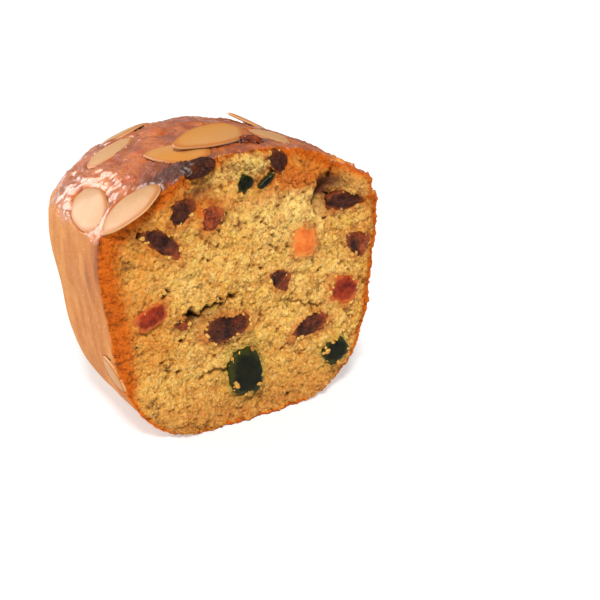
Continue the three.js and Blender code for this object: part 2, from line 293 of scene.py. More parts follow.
def insetAt(z):
    taper = loaf["taper"] * (1 - np.minimum(z, loaf["rimFront"]) / loaf["rimFront"])
    t = np.clip(1 - z / loaf["footHeight"], 0, 1)
    belly = loaf["belly"] * np.exp(-((z - loaf["bellyAt"]) / loaf["bellySpan"]) ** 2)
    return taper + loaf["footInset"] * (1 - np.sqrt(1 - t * t)) - belly


def halfWidth(y, inset):
    t = np.clip((y - loaf["straightEnd"]) / (loaf["backY"] - inset - loaf["straightEnd"]), 0, 1)
    return (loaf["width"] / 2 - inset) * (1 - t ** loaf["endPower"]) ** (1 / loaf["endPower"])


def topHeight(x, y):
    even = np.where(x > 0, x / loaf["rightShare"], x)
    rimInset = insetAt(loaf["rimFront"])
    across = np.clip(np.abs(even) / np.maximum(halfWidth(y, rimInset), 1e-6), 0, 1)
    rimEnd = loaf["backY"] - rimInset
    lastBit = rimInset * smoothStep(y, rimEnd - fineness["endBlend"], rimEnd)  # the dome meets the end wall evenly
    along = np.clip((y + lastBit - loaf["cutY"]) / (loaf["backY"] - loaf["cutY"]), 0, 1)
    dome = ((1 - across ** loaf["domePower"]) * (1 - along ** loaf["domeEndPower"])) ** loaf["shoulderPower"]
    rim = loaf["rimFront"] + (loaf["rimBack"] - loaf["rimFront"]) * along ** loaf["rimCurve"]
    wavy = wave(x, y, 0) * np.minimum(1, dome * loaf["waveRise"])
    return rim + (loaf["crown"] - rim) * dome - loaf["lean"] * x + wavy


def lineGap(x, z, start, end):
    (ax, az), (bx, bz) = start, end
    t = np.clip(((x - ax) * (bx - ax) + (z - az) * (bz - az)) / ((bx - ax) ** 2 + (bz - az) ** 2), 0, 1)
    return np.hypot(x - ax - t * (bx - ax), z - az - t * (bz - az))


def relief(x, z):
    rough = np.sin(x / 2.9 + z / 6.1) * np.sin(z / 3.3 - x / 7.7) + np.sin(x / 9 + 2) * np.sin(z / 11)
    left = smoothStep(x, cutFace["tornLeft"] - cutFace["tornBlend"], cutFace["tornLeft"])
    right = 1 - smoothStep(x, cutFace["tornRight"], cutFace["tornRight"] + cutFace["tornBlend"])
    torn = cutFace["tornDepth"] * left * right * smoothStep(z, cutFace["tornStart"], cutFace["tornEnd"])
    apart = lineGap(x, z, cutFace["tearStart"], cutFace["tearEnd"])
    tear = cutFace["tearDepth"] * np.exp(-(apart / cutFace["tearHalfWidth"]) ** 2)
    edge = loaf["width"] / 2 * np.where(x > 0, loaf["rightShare"], 1) - insetAt(np.maximum(z, 0)) - np.abs(x)
    belowRim = z < loaf["rimFront"] + cutFace["bevelTop"]
    bevel = cutFace["bevelDepth"] * (1 - smoothStep(edge, 0, cutFace["bevelWidth"])) ** 2 * belowRim
    return cutFace["wave"] * rough + torn + tear + (bevel + softSpots(x, z, cutFace["swells"]))


def outline(inset, spacing):
    front = loaf["cutY"] - fineness["pastCut"]
    half = loaf["width"] / 2 - inset
    reach = loaf["backY"] - inset - loaf["straightEnd"]
    side = np.linspace(front, loaf["straightEnd"], int((loaf["straightEnd"] - front) / spacing))[:-1]
    turns = np.linspace(0, math.pi, int(fineness["endArc"] / spacing))
    c, s = np.cos(turns), np.sin(turns)
    x = half * np.sign(c) * np.abs(c) ** (2 / loaf["endPower"])
    y = loaf["straightEnd"] + reach * np.abs(s) ** (2 / loaf["endPower"])
    frontCount = int(loaf["width"] / spacing * fineness["frontShare"])
    frontCount += -(2 * len(side) + len(turns) + frontCount) % fineness["thinning"][-1][1]
    across = np.linspace(-half, half, frontCount + 2)[1:-1]
    xs = np.concatenate([np.full(len(side), half), x, np.full(len(side), -half), across])
    xs = np.where(xs > 0, xs * loaf["rightShare"], xs)
    ys = np.concatenate([side, y, side[::-1], np.full(len(across), front)])
    return xs, ys


def stitchRings(rings):
    faces, start = [], 0
    for ring, above in zip(rings[:-1], rings[1:]):
        count, fewer = len(ring), len(above)
        j = np.arange(fewer)
        upper, upperNext = start + count + j, start + count + (j + 1) % fewer
        if fewer == count:
            faces += np.stack([start + j, start + (j + 1) % count, upperNext, upper], 1).tolist()
        else:
            a, b, c = start + 2 * j, start + 2 * j + 1, start + (2 * j + 2) % count
            faces += np.stack([a, b, upper], 1).tolist()
            faces += np.stack([b, c, upperNext], 1).tolist()
            faces += np.stack([b, upperNext, upper], 1).tolist()
        start += count
    return faces, start


def loafShell(spacing):
    middle = (loaf["cutY"] + loaf["backY"]) / 2
    half = loaf["width"] / 2
    foot = loaf["footHeight"]
    rings = []
    footSteps = int(fineness["footRun"] / spacing)
    for i in range(footSteps):
        z = foot * (1 - math.cos(math.pi / 2 * i / footSteps))
        x, y = outline(insetAt(z), spacing)
        push = 0.0 if i == 0 else fineness["sideWave"]
        rings.append(np.stack([x * (1 + push * wave(0, y * 2, z) / half), y, np.full(len(x), z)], 1))
    wallSteps = int(fineness["wallRun"] / spacing)
    rimX, rimY = outline(insetAt(loaf["rimFront"]), spacing)
    rimTop = topHeight(rimX, rimY)
    for i in range(wallSteps + 1):
        f = i / wallSteps
        x, y = outline(insetAt(foot + (loaf["rimFront"] - foot) * f), spacing)
        z = foot + (rimTop - foot) * f
        rings.append(np.stack([x * (1 + fineness["sideWave"] * (1 - f) * wave(0, y * 2, z) / half), y, z], 1))
    domeSteps = int(fineness["domeRun"] / spacing)
    for i in range(1, domeSteps):
        s = math.cos(math.pi / 2 * i / domeSteps)
        step = next(every for above, every in fineness["thinning"] if s > above)
        x, y = rimX[::step] * s, middle + (rimY[::step] - middle) * s
        rings.append(np.stack([x, y, topHeight(x, y)], 1))
    points = np.concatenate(rings + [[[0, middle, 0]], [[0, middle, topHeight(0.0, middle)]]])
    low, high = len(points) - 2, len(points) - 1
    faces, start = stitchRings(rings)
    around, top = len(rings[0]), len(rings[-1])
    faces += [[low, (k + 1) % around, k] for k in range(around)]
    faces += [[high, start + k, start + (k + 1) % top] for k in range(top)]
    return meshFrom("loafShell", points, faces)


def lobes(fruit, u, v, spread):
    angle, seed = np.arctan2(v, u), fruit.get("seed", 0)
    size = fruit.get("rough", 0.035 if fruit.get("boxy", 2) > 2.7 else 0.09)
    waves = 0.8 * np.sin(2 * angle + seed * 1.7) + np.sin(3 * angle + seed * 2.9) + 0.4 * np.sin(5 * angle + seed)
    return 1 + size * spread * waves


def fruitReach(fruit, x, z):
    turn = math.radians(fruit.get("turn", 0))
    dx, dz = x - fruit["x"], z - fruit["z"]
    u = (dx * math.cos(turn) + dz * math.sin(turn)) / (fruit["long"] / 2)
    v = (-dx * math.sin(turn) + dz * math.cos(turn)) / (fruit["short"] / 2)
    power = fruit.get("boxy", 2)
    return (np.abs(u) ** power + np.abs(v) ** power) ** (1 / power) / lobes(fruit, u, v, 1.0)


bed = {"depth": 2.0, "from": 0.6, "to": 0.9, "wander": 0.2, "lip": 0.25, "overlap": 1.3, "lipAt": 0.93,
       "lipWidth": 0.17}


def bedDepth(x, z):
    depth = np.zeros_like(x)
    wander = bed["wander"] * (0.7 * patchNoise(x, z, 1.0, 3) + 0.5 * patchNoise(x, z, 2.4, 4))
    lap = bed["lip"] + bed["overlap"] * np.maximum(patchNoise(x, z, 2.2, 5) - 0.05, 0)
    for fruit in fruits.values():
        r = fruitReach(fruit, x, z)
        depth += bed["depth"] * (1 - smoothStep(r + wander, bed["from"], bed["to"]))
        depth -= lap * np.exp(-((r - bed["lipAt"]) / bed["lipWidth"]) ** 2)
    return depth


def crackDepth(x, z):
    depth = softSpots(x, z, cutFace["rips"]) * (1 + 0.5 * patchNoise(x, z, 1.6, 12))
    wobbleX = x + 0.5 * np.sin(z * 2.1) + 0.3 * np.sin(x * 3.3 + z)
    wobbleZ = z + 0.5 * np.sin(x * 1.7) + 0.3 * np.sin(z * 2.9 - x)
    for atX, atZ, wide in cutFace["holes"]:
        depth += cutFace["holeDepth"] * np.exp(-((wobbleX - atX) ** 2 + (wobbleZ - atZ) ** 2) / wide ** 2)
    for points, width, deep in cracks:
        pairs = zip(points[:-1], points[1:])
        line = np.min([lineGap(wobbleX, wobbleZ, start, end) for start, end in pairs], axis=0)
        depth += deep * np.exp(-(line / width) ** 2)
    return depth


blockBox = {"left": -46, "right": 46, "low": -3, "high": 84, "pastEnd": 15}  # stands past the loaf on every side


def cutBlock(spacing):
    xs = np.arange(blockBox["left"], blockBox["right"] + spacing, spacing)
    zs = np.arange(blockBox["low"], blockBox["high"] + spacing, spacing)
    nx, nz = len(xs), len(zs)
    x, z = (grid.ravel() for grid in np.meshgrid(xs, zs))
    y = loaf["cutY"] + relief(x, z) + bedDepth(x, z) + crackDepth(x, z)
    front = np.stack([x, y, z], 1)
    ids = np.arange(nx * nz).reshape(nz, nx)
    faces = np.stack([ids[:-1, :-1], ids[:-1, 1:], ids[1:, 1:], ids[1:, :-1]], -1).reshape(-1, 4).tolist()
    rim = list(ids[0, :]) + list(ids[1:, -1]) + list(ids[-1, -2::-1]) + list(ids[-2:0:-1, 0])
    far = front[rim].copy()
    far[:, 1] = loaf["backY"] + blockBox["pastEnd"]
    base, count = len(front), len(rim)
    for k in range(count):
        n = (k + 1) % count
        faces.append([int(rim[k]), base + k, base + n, int(rim[n])])
    faces.append([base + k for k in range(count)][::-1])
    made = meshFrom("cutBlock", np.concatenate([front, far]), faces)
    inner = np.zeros((nz, nx))
    inner[2:-2, 2:-2] = 1
    setValue(made, "crumbSide", np.concatenate([inner.ravel(), np.zeros(count)]))
    return made


# The baked skin: streaks on the wall, glaze and pits on the top, a nibbled edge, and a broken corner.
crust = {"Streak Depth": 0.16, "Glaze Depth": 0.75, "Ridge Depth": 0.4, "Pit Depth": 0.8, "Edge Break": 2.6,
         "Chunk Depth": 4.2, "Notch Depth": 2.0}
crustForm = {
    "streakSize": 5.0, "skinSize": 1.5, "skinShare": 0.7, "glazeSize": 8.0, "ridgeSize": 3.0, "blisterSize": 1.5,
    "blisterShare": 0.9, "pitSpacing": 6.5, "pitShare": 0.62, "nibbleSize": 2.4, "raggedSize": 4.0, "ragged": 8.0,
    "ruggedSize": 3.0, "chunkAt": (34.0, -26.5, 63.0), "chunkReach": 11.5, "chunkFull": 9.0,
    "notchSquash": (1, 0.3, 1), "cleftAt": (26.5, -8.4, 70.0), "cleftReach": 4.6,
    "cornerAt": (41.5, -8.6, 66.5), "cornerReach": 9.0, "cornerShare": 2.2,
    "topFrom": (0.1, 0.55), "wallFrom": (0.5, 0.1), "clearOfBase": (0.4, 4.0), "streakSquash": (1, 1, 0.25),
    "edgeFrom": (-27.2, -29.6), "edgeClearOfBase": (0.2, 2.0), "pitSizes": (0.2, 0.1), "pitWalls": (1.1, 0.5),
    "pitWarp": 3.0,
}


def crustRelief():
    form = crustForm
    tree, given, out = geometryTree("crustRelief", crust)
    place = placeInMm(tree)
    normal = node(tree, "GeometryNodeInputNormal").outputs[0]
    up, along, height = axes(tree, normal)["Z"], axes(tree, place)["Y"], axes(tree, place)["Z"]
    top = ramp(tree, up, *form["topFrom"])
    wall = times(tree, ramp(tree, up, *form["wallFrom"]), ramp(tree, height, *form["clearOfBase"]))
    streak = swing(tree, stretched(tree, place, form["streakSquash"]), form["streakSize"], 3.0)
    skin = times(tree, swing(tree, place, form["skinSize"], 3.0), form["skinShare"])
    wallPush = times(tree, plus(tree, streak, skin), given["Streak Depth"])
    swell = times(tree, swing(tree, place, form["glazeSize"], 2.0), given["Glaze Depth"])
    ridge = times(tree, folds(tree, place, form["ridgeSize"], 4.0, 0.6, 0.6), given["Ridge Depth"])
    blister = times(tree, swing(tree, place, form["blisterSize"], 3.0, 0.6), form["blisterShare"])
    swell = plus(tree, swell, times(tree, blister, given["Glaze Depth"]))
    bent = shifted(tree, place, scaled(tree, noise(tree, place, 2.0, output="Color"), form["pitWarp"]))
    pocks = cells(tree, bent, form["pitSpacing"])
    pick = axes(tree, pocks["Color"])
    reach = maths(tree, "MULTIPLY_ADD", pick[1], *form["pitSizes"])
    pit = times(tree, ramp(tree, maths(tree, "DIVIDE", pocks["Distance"], reach), *form["pitWalls"]),
                maths(tree, "GREATER_THAN", pick[0], form["pitShare"]))
    topPush = minus(tree, plus(tree, times(tree, swell, 2.0), ridge), times(tree, pit, given["Pit Depth"]))
    push = plus(tree, times(tree, topPush, top), times(tree, wallPush, wall))
    nearCut = times(tree, ramp(tree, along, *form["edgeFrom"]), ramp(tree, height, *form["edgeClearOfBase"]))
    nibble = minus(tree, plus(tree, noise(tree, place, form["nibbleSize"], 3.0, 0.6), 0.06), 0.5)
    bite = times(tree, nibble, given["Edge Break"], nearCut)
    ragged = times(tree, swing(tree, place, form["raggedSize"], 3.0, 0.6), form["ragged"])
    chunkGap = plus(tree, gapTo(tree, place, form["chunkAt"]), ragged)
    bare = ramp(tree, chunkGap, form["chunkReach"], form["chunkFull"])
    rugged = minus(tree, noise(tree, place, form["ruggedSize"], 4.0, 0.66), 0.52)
    squashed = stretched(tree, place, form["notchSquash"])
    cleft = ramp(tree, gapTo(tree, squashed, form["cleftAt"]), form["cleftReach"], 0.5)
    corner = ramp(tree, gapTo(tree, squashed, form["cornerAt"]), form["cornerReach"], 1.5)
    notch = times(tree, plus(tree, cleft, times(tree, corner, form["cornerShare"])), given["Notch Depth"])
    push = plus(tree, minus(tree, push, notch), bite, times(tree, rugged, given["Chunk Depth"], bare))
    shape = moved(tree, given[0], scaled(tree, normal, times(tree, push, mm)))
    shape = stored(tree, shape, "bare", bare)
    tree.links.new(stored(tree, shape, "pit", times(tree, pit, top)), out.inputs[0])
    return tree


# The torn crumb: lumps, grain and pores, pushed in from the cut.
crumbDepths = {"Grain Depth": 0.85, "Lump Depth": 2.3, "Pore Depth": 1.6, "Rough Depth": 1.25, "Rip Depth": 3.0}
crumbForm = {
    "lumpSize": 4.2, "grainSize": 1.0, "clumpSize": 2.6, "clumpShare": 1.15, "roughSize": 1.3, "ripSize": 5.5,
    "ripFrom": 60.0, "ripTo": 76.0, "ripLevel": 0.45, "cellLevel": 0.45, "warp": 1.6, "warpSize": 1 / 0.6,
    "depthSquash": (1, 0.25, 1), "lumpShade": 0.4, "poreWalls": 0.6, "poreVary": 0.8, "poreLeast": 0.4,
    "pores": ((1.7, 0.3, 0.25, 0.5), (3.6, 0.2, 0.3, 1.0), (9.0, 0.13, 0.35, 1.7)),  # spacing, reach, share, depth
}


def crumbRelief():
    form = crumbForm
    tree, given, out = geometryTree("crumbRelief", crumbDepths)
    place = placeInMm(tree)
    flat = stretched(tree, place, form["depthSquash"])
    bent = shifted(tree, flat, scaled(tree, noise(tree, flat, form["warpSize"], output="Color"), form["warp"]))
    mask = readValue(tree, "crumbSide")
    lump = times(tree, swing(tree, bent, form["lumpSize"], 2.0), given["Lump Depth"])
    grain, clump = (minus(tree, cells(tree, bent, form[size])["Distance"], form["cellLevel"])
                    for size in ("grainSize", "clumpSize"))
    grain = times(tree, plus(tree, grain, times(tree, clump, form["clumpShare"])), given["Grain Depth"])
    fine = times(tree, swing(tree, bent, form["roughSize"], 4.0, 0.7), given["Rough Depth"])
    pores = []
    for size, reach, share, deep in form["pores"]:
        web = cells(tree, bent, size)
        pick = axes(tree, web["Color"])
        wide = maths(tree, "MULTIPLY_ADD", pick[1], reach * form["poreVary"], reach * form["poreLeast"])
        hole = maths(tree, "SUBTRACT", 1.0, maths(tree, "DIVIDE", web["Distance"], wide), clampIt=True)
        chosen = maths(tree, "LESS_THAN", pick[0], share)
        pores.append(times(tree, maths(tree, "POWER", hole, form["poreWalls"]), chosen, deep))
    pore = maths(tree, "MAXIMUM", maths(tree, "MAXIMUM", pores[0], pores[1]), pores[2])
    porePush = times(tree, pore, given["Pore Depth"])
    high = ramp(tree, axes(tree, place)["Z"], form["ripFrom"], form["ripTo"])
    rip = minus(tree, noise(tree, flat, form["ripSize"], 4.0, 0.6), form["ripLevel"])
    rip = times(tree, rip, given["Rip Depth"])
    lump = plus(tree, lump, times(tree, rip, high))
    push = times(tree, plus(tree, plus(tree, lump, grain), plus(tree, fine, porePush)), mask)
    offset = node(tree, "ShaderNodeCombineXYZ", {"Y": times(tree, push, mm)}).outputs[0]
    # how far the crumb is pushed in or out, kept to paint shade in recesses and light on proud lumps
    reliefShading = plus(tree, porePush, plus(tree, times(tree, lump, form["lumpShade"]), plus(tree, grain, fine)))
    shape = stored(tree, moved(tree, given[0], offset), "reliefShading", times(tree, reliefShading, mask))
    tree.links.new(shape, out.inputs[0])
    return tree


# Fruit and flakes, placed as in the solid model.
fruits = {
    "raisin_1": {"kind": "raisin", "x": -21.4, "z": 65.2, "long": 8.4, "short": 6.8, "turn": 40, "seed": 1,
                 "red": 0.2},
    "raisin_2": {"kind": "raisin", "x": -12.9, "z": 61.9, "long": 7.8, "short": 7.2, "turn": 80, "seed": 2,
                 "red": 0.85},
    "raisin_3": {"kind": "raisin", "x": -27, "z": 57.6, "long": 15, "short": 5.6, "turn": -42, "seed": 3,
                 "red": 0.35},
    "raisin_4": {"kind": "raisin", "x": -22.6, "z": 34.2, "long": 6, "short": 3.4, "turn": -25, "seed": 4,
                 "depth": 3, "bulge": 0.6, "dust": 0.25, "red": 0.6},
    "raisin_5": {"kind": "raisin", "x": -9.6, "z": 30.2, "long": 15, "short": 8.8, "turn": 8, "seed": 5,
                 "bulge": 1.2, "red": 0.15},
    "raisin_6": {"kind": "raisin", "x": 8.8, "z": 73.4, "long": 8.6, "short": 6, "turn": -38, "seed": 6,
                 "bulge": 1.6, "red": 0.2},
    "raisin_7": {"kind": "raisin", "x": 29.6, "z": 59.2, "long": 14.6, "short": 5.6, "turn": -4, "seed": 7,
                 "bulge": 1.6, "red": 0.3},
    "raisin_8": {"kind": "raisin", "x": 17.5, "z": 24.5, "long": 13, "short": 7.4, "turn": 14, "seed": 8},
    "raisin_9": {"kind": "raisin", "x": 33.6, "z": 46, "long": 7.4, "short": 9.4, "turn": 20, "seed": 9,
                 "red": 0.5},
    "raisin_10": {"kind": "raisin", "x": 7.5, "z": 40.5, "long": 8.6, "short": 5.8, "turn": -35, "seed": 10},
    "cherry_piece_1": {"kind": "cherry", "x": -31.5, "z": 38.5, "long": 10.2, "short": 5.8, "turn": 24,
                       "boxy": 3.2},
    "cherry_piece_2": {"kind": "cherry", "x": 28.4, "z": 33, "long": 10, "short": 8.6, "turn": -14, "boxy": 4,
                       "seed": 2},
    "orange_piece_1": {"kind": "orange", "x": 15.2, "z": 50, "long": 8, "short": 8.8, "turn": 6, "boxy": 4,
                       "seed": 3},
    "green_piece_1": {"kind": "green", "x": -3.8, "z": 15.2, "long": 14.6, "short": 10.4, "turn": -82, "boxy": 2.8,
                      "bulge": 1.4},
    "green_piece_2": {"kind": "green", "x": -2, "z": 69.2, "long": 5.2, "short": 4.6, "turn": -60, "boxy": 2.4,
                      "rough": 0.24, "seed": 6, "depth": 3},
    "green_piece_3": {"kind": "green", "x": 4.6, "z": 68.6, "long": 6.6, "short": 2, "turn": 30, "boxy": 2.6,
                      "depth": 2.6},
    "green_piece_4": {"kind": "green", "x": 25.6, "z": 14.6, "long": 8, "short": 7.6, "turn": 32, "boxy": 4,
                      "seed": 5},
}

glazedRaisins = {
    "raisin_11": {"x": -14.8, "y": -26.4, "long": 11.5, "wide": 8.4, "turn": 18, "tall": 4.4, "red": 0.1},
    "raisin_12": {"x": 4.8, "y": -18.5, "long": 9.5, "wide": 7.4, "turn": -16, "tall": 5.6, "red": 0.55},
}

flakeForm = {"thickness": 1.2, "sink": 0.45, "ripple": 0.22, "across": 22, "around": 96, "taper": 0.12}

flakes = {
    "almond_flake_1": {"x": -39.2, "y": -11.6, "long": 21, "wide": 11, "turn": 77, "bend": 34, "tip": 0.1,
                       "toast": 0.12},
    "almond_flake_2": {"x": -35, "y": -28.2, "long": 19, "wide": 12, "turn": 184, "bend": 44, "tip": 0.2,
                       "toast": 0.22},
    "almond_flake_3": {"x": -14.8, "y": -14.6, "long": 18.6, "wide": 10.8, "turn": 134, "bend": 60, "lift": 0.1,
                       "roll": -6, "toast": 0.8, "fade": 0.5},
    "almond_flake_4": {"x": -4.6, "y": -13.7, "long": 22.4, "wide": 11.4, "turn": 188, "bend": 75, "lift": 2.3,
                       "roll": -17, "toast": 0.75, "fade": -0.9},
    "almond_flake_5": {"x": -23.6, "y": 8.2, "long": 17.5, "wide": 8.6, "turn": 20, "bend": 46, "toast": 0.2},
    "almond_flake_6": {"x": 23, "y": 9.6, "long": 19, "wide": 10.6, "turn": 160, "bend": 60, "lift": 0.7,
                       "tipUp": 10, "tip": 0.3, "toast": 0.7},
    "almond_flake_7": {"x": 15.6, "y": -12.4, "long": 18, "wide": 9.2, "turn": -84, "bend": 48, "toast": 0.45},
    "almond_flake_8": {"side": -1, "y": -24.2, "z": 22, "long": 11.4, "wide": 6.6, "turn": -40, "bend": 60,
                       "toast": 0.5},
    "almond_flake_9": {"x": 34.5, "y": -7.5, "long": 18.4, "wide": 10.8, "turn": 70, "bend": 34, "toast": 0.3},
    "almond_flake_10": {"x": -12.4, "y": 22.4, "long": 20, "wide": 12, "turn": 12, "bend": 34, "toast": 0.15},
    "almond_flake_11": {"x": 9.5, "y": 25, "long": 18.6, "wide": 11.2, "turn": -24, "bend": 34, "toast": 0.4},
}


def ball(name):
    made = bpy.data.meshes.new(name)
    shape = bmesh.new()
    bmesh.ops.create_icosphere(shape, subdivisions=5, radius=1.0)
    shape.to_mesh(made)
    shape.free()
    made.shade_smooth()
    return made


def fruitMesh(name, fruit):
    made = ball(name)
    v = rawPoints(made)
    boxy = fruit.get("boxy", 2)
    power = (np.abs(v) ** boxy).sum(1)
    v = v * (power ** (-1 / boxy) * lobes(fruit, v[:, 0], v[:, 2], np.hypot(v[:, 0], v[:, 2])))[:, None]
    x = v[:, 0] * fruit["long"] / 2
    z = v[:, 2] * fruit["short"] / 2
    y = np.where(v[:, 1] < 0, v[:, 1] * fruit.get("bulge", 1.0), v[:, 1] * fruit.get("depth", 4.5))
    turn = math.radians(fruit.get("turn", 0))
    px = x * math.cos(turn) - z * math.sin(turn) + fruit["x"]
    pz = x * math.sin(turn) + z * math.cos(turn) + fruit["z"]
    py = y + loaf["cutY"] + relief(fruit["x"], fruit["z"])
    setPoints(made, np.stack([px, py, pz], 1))
    setValue(made, "red", fruit.get("red", 0.35) + 0.35 * v[:, 0])
    ragged = 0.12 * patchNoise(px, pz, 1.2, 31) + 0.06 * patchNoise(px, pz, 0.6, 32)
    away = np.hypot(v[:, 0], v[:, 2])
    setValue(made, "edge", smoothStep(away + ragged - 0.08 * v[:, 2], 0.68, 0.98))
    setValue(made, "dusted", away + 0.34 * patchNoise(px, pz, 1.5, 41) + fruit.get("dust", 0))
    return made


def skinFrame(place):  # a point of the skin and the way out of it, on the top or on a side wall
    step = 0.5
    if "side" in place:
        side, y, z = place["side"], place["y"], place["z"]
        wallX = lambda a, b: side * float(halfWidth(a, insetAt(b)))
        acrossY = (wallX(y + step, z) - wallX(y - step, z)) / (2 * step)
        acrossZ = (wallX(y, z + step) - wallX(y, z - step)) / (2 * step)
        return Vector((wallX(y, z), y, z)), (Vector((1, -acrossY, -acrossZ)) * side).normalized()
    x, y = place["x"], place["y"]
    height = lambda a, b: float(topHeight(a, b))
    slopeX = (height(x + step, y) - height(x - step, y)) / (2 * step)
    slopeY = (height(x, y + step) - height(x, y - step)) / (2 * step)
    return Vector((x, y, height(x, y))), Vector((-slopeX, -slopeY, 1)).normalized()


def turned(degrees, axis):
    return Matrix.Rotation(math.radians(degrees), 3, axis)


def glazedRaisinMesh(name, raisin):
    sunk = 0.12  # share of its height that it sits in the glaze
    point, out = skinFrame(raisin)
    made = ball(name)
    v = rawPoints(made) * np.array([raisin["long"] / 2, raisin["wide"] / 2, raisin["tall"] / 2])
    lie = Vector((0, 0, 1)).rotation_difference(out).to_matrix() @ turned(raisin["turn"], "Z")
    v = v @ np.array(lie).T + np.array(point - out * raisin["tall"] * sunk)
    setPoints(made, v)
    setValue(made, "red", np.full(len(v), raisin["red"]))
    setValue(made, "edge", np.zeros(len(v)))
    return made


def flakeFrame(flake):
    point, out = skinFrame(flake)
    start = Vector((0, -1, 0)) if "side" in flake else Vector((1, 0, 0))
    along = (start - out * start.dot(out)).normalized()
    basis = Matrix((along, out.cross(along), out)).transposed() @ turned(flake["turn"], "Z")
    basis = basis @ turned(-flake.get("tipUp", 0), "Y") @ turned(flake.get("roll", 0), "X")
    return np.array(point), np.array(basis)


def flakeLevel(flake, x, y, thickness):  # height of the bent flake's middle over the skin
    sag = (x * x + y * y) / (2 * flake["bend"])
    return thickness / 2 - flakeForm["sink"] + flake.get("lift", 0) - sag


seat = {"drop": 0.62, "lip": 0.28, "lipAt": 1.1, "lipWidth": 0.07, "lipNear": 1.2, "reach": 5.0, "from": 0.94}


def seatFlakes(data):
    points = pointsOf(data)
    for flake in flakes.values():
        point, basis = flakeFrame(flake)
        x, y, z = ((points - point) @ basis).T
        u = x / (flake["long"] / 2)
        taper = np.maximum(1 - flake.get("tip", 0.25) * u - flakeForm["taper"] * u * u, 0.2)
        r = np.hypot(u, y / (flake["wide"] / 2) / taper)
        middle = flakeLevel(flake, x, y, flakeForm["thickness"])
        near = (r < 1.4) & (np.abs(z - middle) < seat["reach"])
        inside = 1 - smoothStep(r, seat["from"], seat["lipAt"])
        z = np.where(near, np.minimum(z, z + (middle - seat["drop"] - z) * inside), z)
        lip = seat["lip"] * np.exp(-((r - seat["lipAt"]) / seat["lipWidth"]) ** 2)
        z = z + near * lip * (np.abs(z - middle) < seat["lipNear"])
        points = np.stack([x, y, z], 1) @ basis.T + point
    setPoints(data, points)


def flakeMesh(name, flake):
    point, basis = flakeFrame(flake)
    across, around = flakeForm["across"], flakeForm["around"]
    half = flakeForm["thickness"] / 2
    theta = np.linspace(0, 2 * math.pi, around, endpoint=False)
    layers, rims = [], []
    angles = np.concatenate([np.linspace(0, 1, across) ** 0.6, 2 - np.linspace(1, 0, across)[1:] ** 0.6])
    for a in angles[1:-1]:
        t = a * math.pi / 2
        radius = abs(math.sin(t))
        level = math.copysign(abs(math.cos(t)) ** 0.42, math.cos(t))
        layers.append(np.stack([radius * np.cos(theta), radius * np.sin(theta), np.full(around, level)], 1))
        rims.append(np.full(around, radius))
    v = np.concatenate(layers + [[[0, 0, 1.0]], [[0, 0, -1.0]]])
    seed = len(name) + flake["long"] * 3.7 + flake["turn"]
    angle = np.arctan2(v[:, 1], v[:, 0])
    edge = 1 + 0.025 * np.sin(3 * angle + seed) + 0.012 * np.sin(7 * angle + seed * 2)
    x = v[:, 0] * edge * flake["long"] / 2
    taper = 1 - flake.get("tip", 0.25) * v[:, 0] - flakeForm["taper"] * v[:, 0] ** 2
    y = v[:, 1] * edge * (flake["wide"] / 2) * taper
    z = v[:, 2] * half + flakeLevel(flake, x, y, flakeForm["thickness"])
    z = z + flakeForm["ripple"] * np.sin(x / 3.1 + seed) * np.cos(y / 3.7 + seed * 0.7)
    count = len(layers)
    faces = []
    for r in range(count - 1):
        for j in range(around):
            n = (j + 1) % around
            faces.append([r * around + j, (r + 1) * around + j, (r + 1) * around + n, r * around + n])
    top, bottom = len(v) - 2, len(v) - 1
    for j in range(around):
        n = (j + 1) % around
        faces.append([top, j, n])
        faces.append([bottom, (count - 1) * around + n, (count - 1) * around + j])
    made = meshFrom(name, np.stack([x, y, z], 1) @ basis.T + point, faces)
    setValue(made, "rim", np.concatenate(rims + [[0.0], [0.0]]))
    drift = 0.3 * patchNoise(x, y, flake["long"] / 3, len(name)) + flake.get("fade", 0.25) * y / flake["wide"]
    setValue(made, "toast", np.clip(flake["toast"] * (1 + drift), 0, 1))
    return made


def wrinkleTree():
    tree, given, out = geometryTree("fruitWrinkles", wrinkles["raisin"])
    place = placeInMm(tree)
    sized = scaled(tree, place, maths(tree, "DIVIDE", 1.0, given["Fold Size"]))
    crease = folds(tree, sized, 1.0, 2.0, 0.5, 0.8)
    dimple = swing(tree, place, 0.7, 2.0)
    push = plus(tree, times(tree, crease, times(tree, given["Fold Depth"], -1.0)),
                times(tree, dimple, given["Dimple Depth"]))
    normal = node(tree, "GeometryNodeInputNormal").outputs[0]
    shape = moved(tree, given[0], scaled(tree, normal, times(tree, push, mm)))
    tree.links.new(stored(tree, shape, "crease", crease), out.inputs[0])
    return tree


# Shared looks.
def mottleGroup():  # two colours in soft patches, with finer patches in them
    group = bpy.data.node_groups.new("foodMottle", "ShaderNodeTree")
    addInputs(group, {"Light": (1, 1, 1, 1), "Dark": (0, 0, 0, 1), "Spot Size": 2.0, "Fine Size": 0.5,
                      "Contrast": 1.0})
    group.interface.new_socket("Color", in_out="OUTPUT", socket_type="NodeSocketColor")
    given, out = group.nodes.new("NodeGroupInput").outputs, group.nodes.new("NodeGroupOutput")
    place = placeInMm(group)
    big, small = (noise(group, scaled(group, place, maths(group, "DIVIDE", 1.0, given[size])), 1.0, 3.0)
                  for size in ("Spot Size", "Fine Size"))
    both = plus(group, times(group, big, 0.6), times(group, small, 0.4))
    spread = times(group, minus(group, both, 0.5), 3.2, given["Contrast"])
    mask = maths(group, "ADD", spread, 0.5, clampIt=True)
    group.links.new(mix(group, mask, given["Dark"], given["Light"]), out.inputs["Color"])


def rgb(*levels):
    shares = [level / 255 for level in levels]
    return (*(c / 12.92 if c <= 0.04045 else ((c + 0.055) / 1.055) ** 2.4 for c in shares), 1.0)


def mix(tree, factor, a, b):
    return node(tree, "ShaderNodeMix", {0: factor, 6: a, 7: b}, data_type="RGBA").outputs[2]


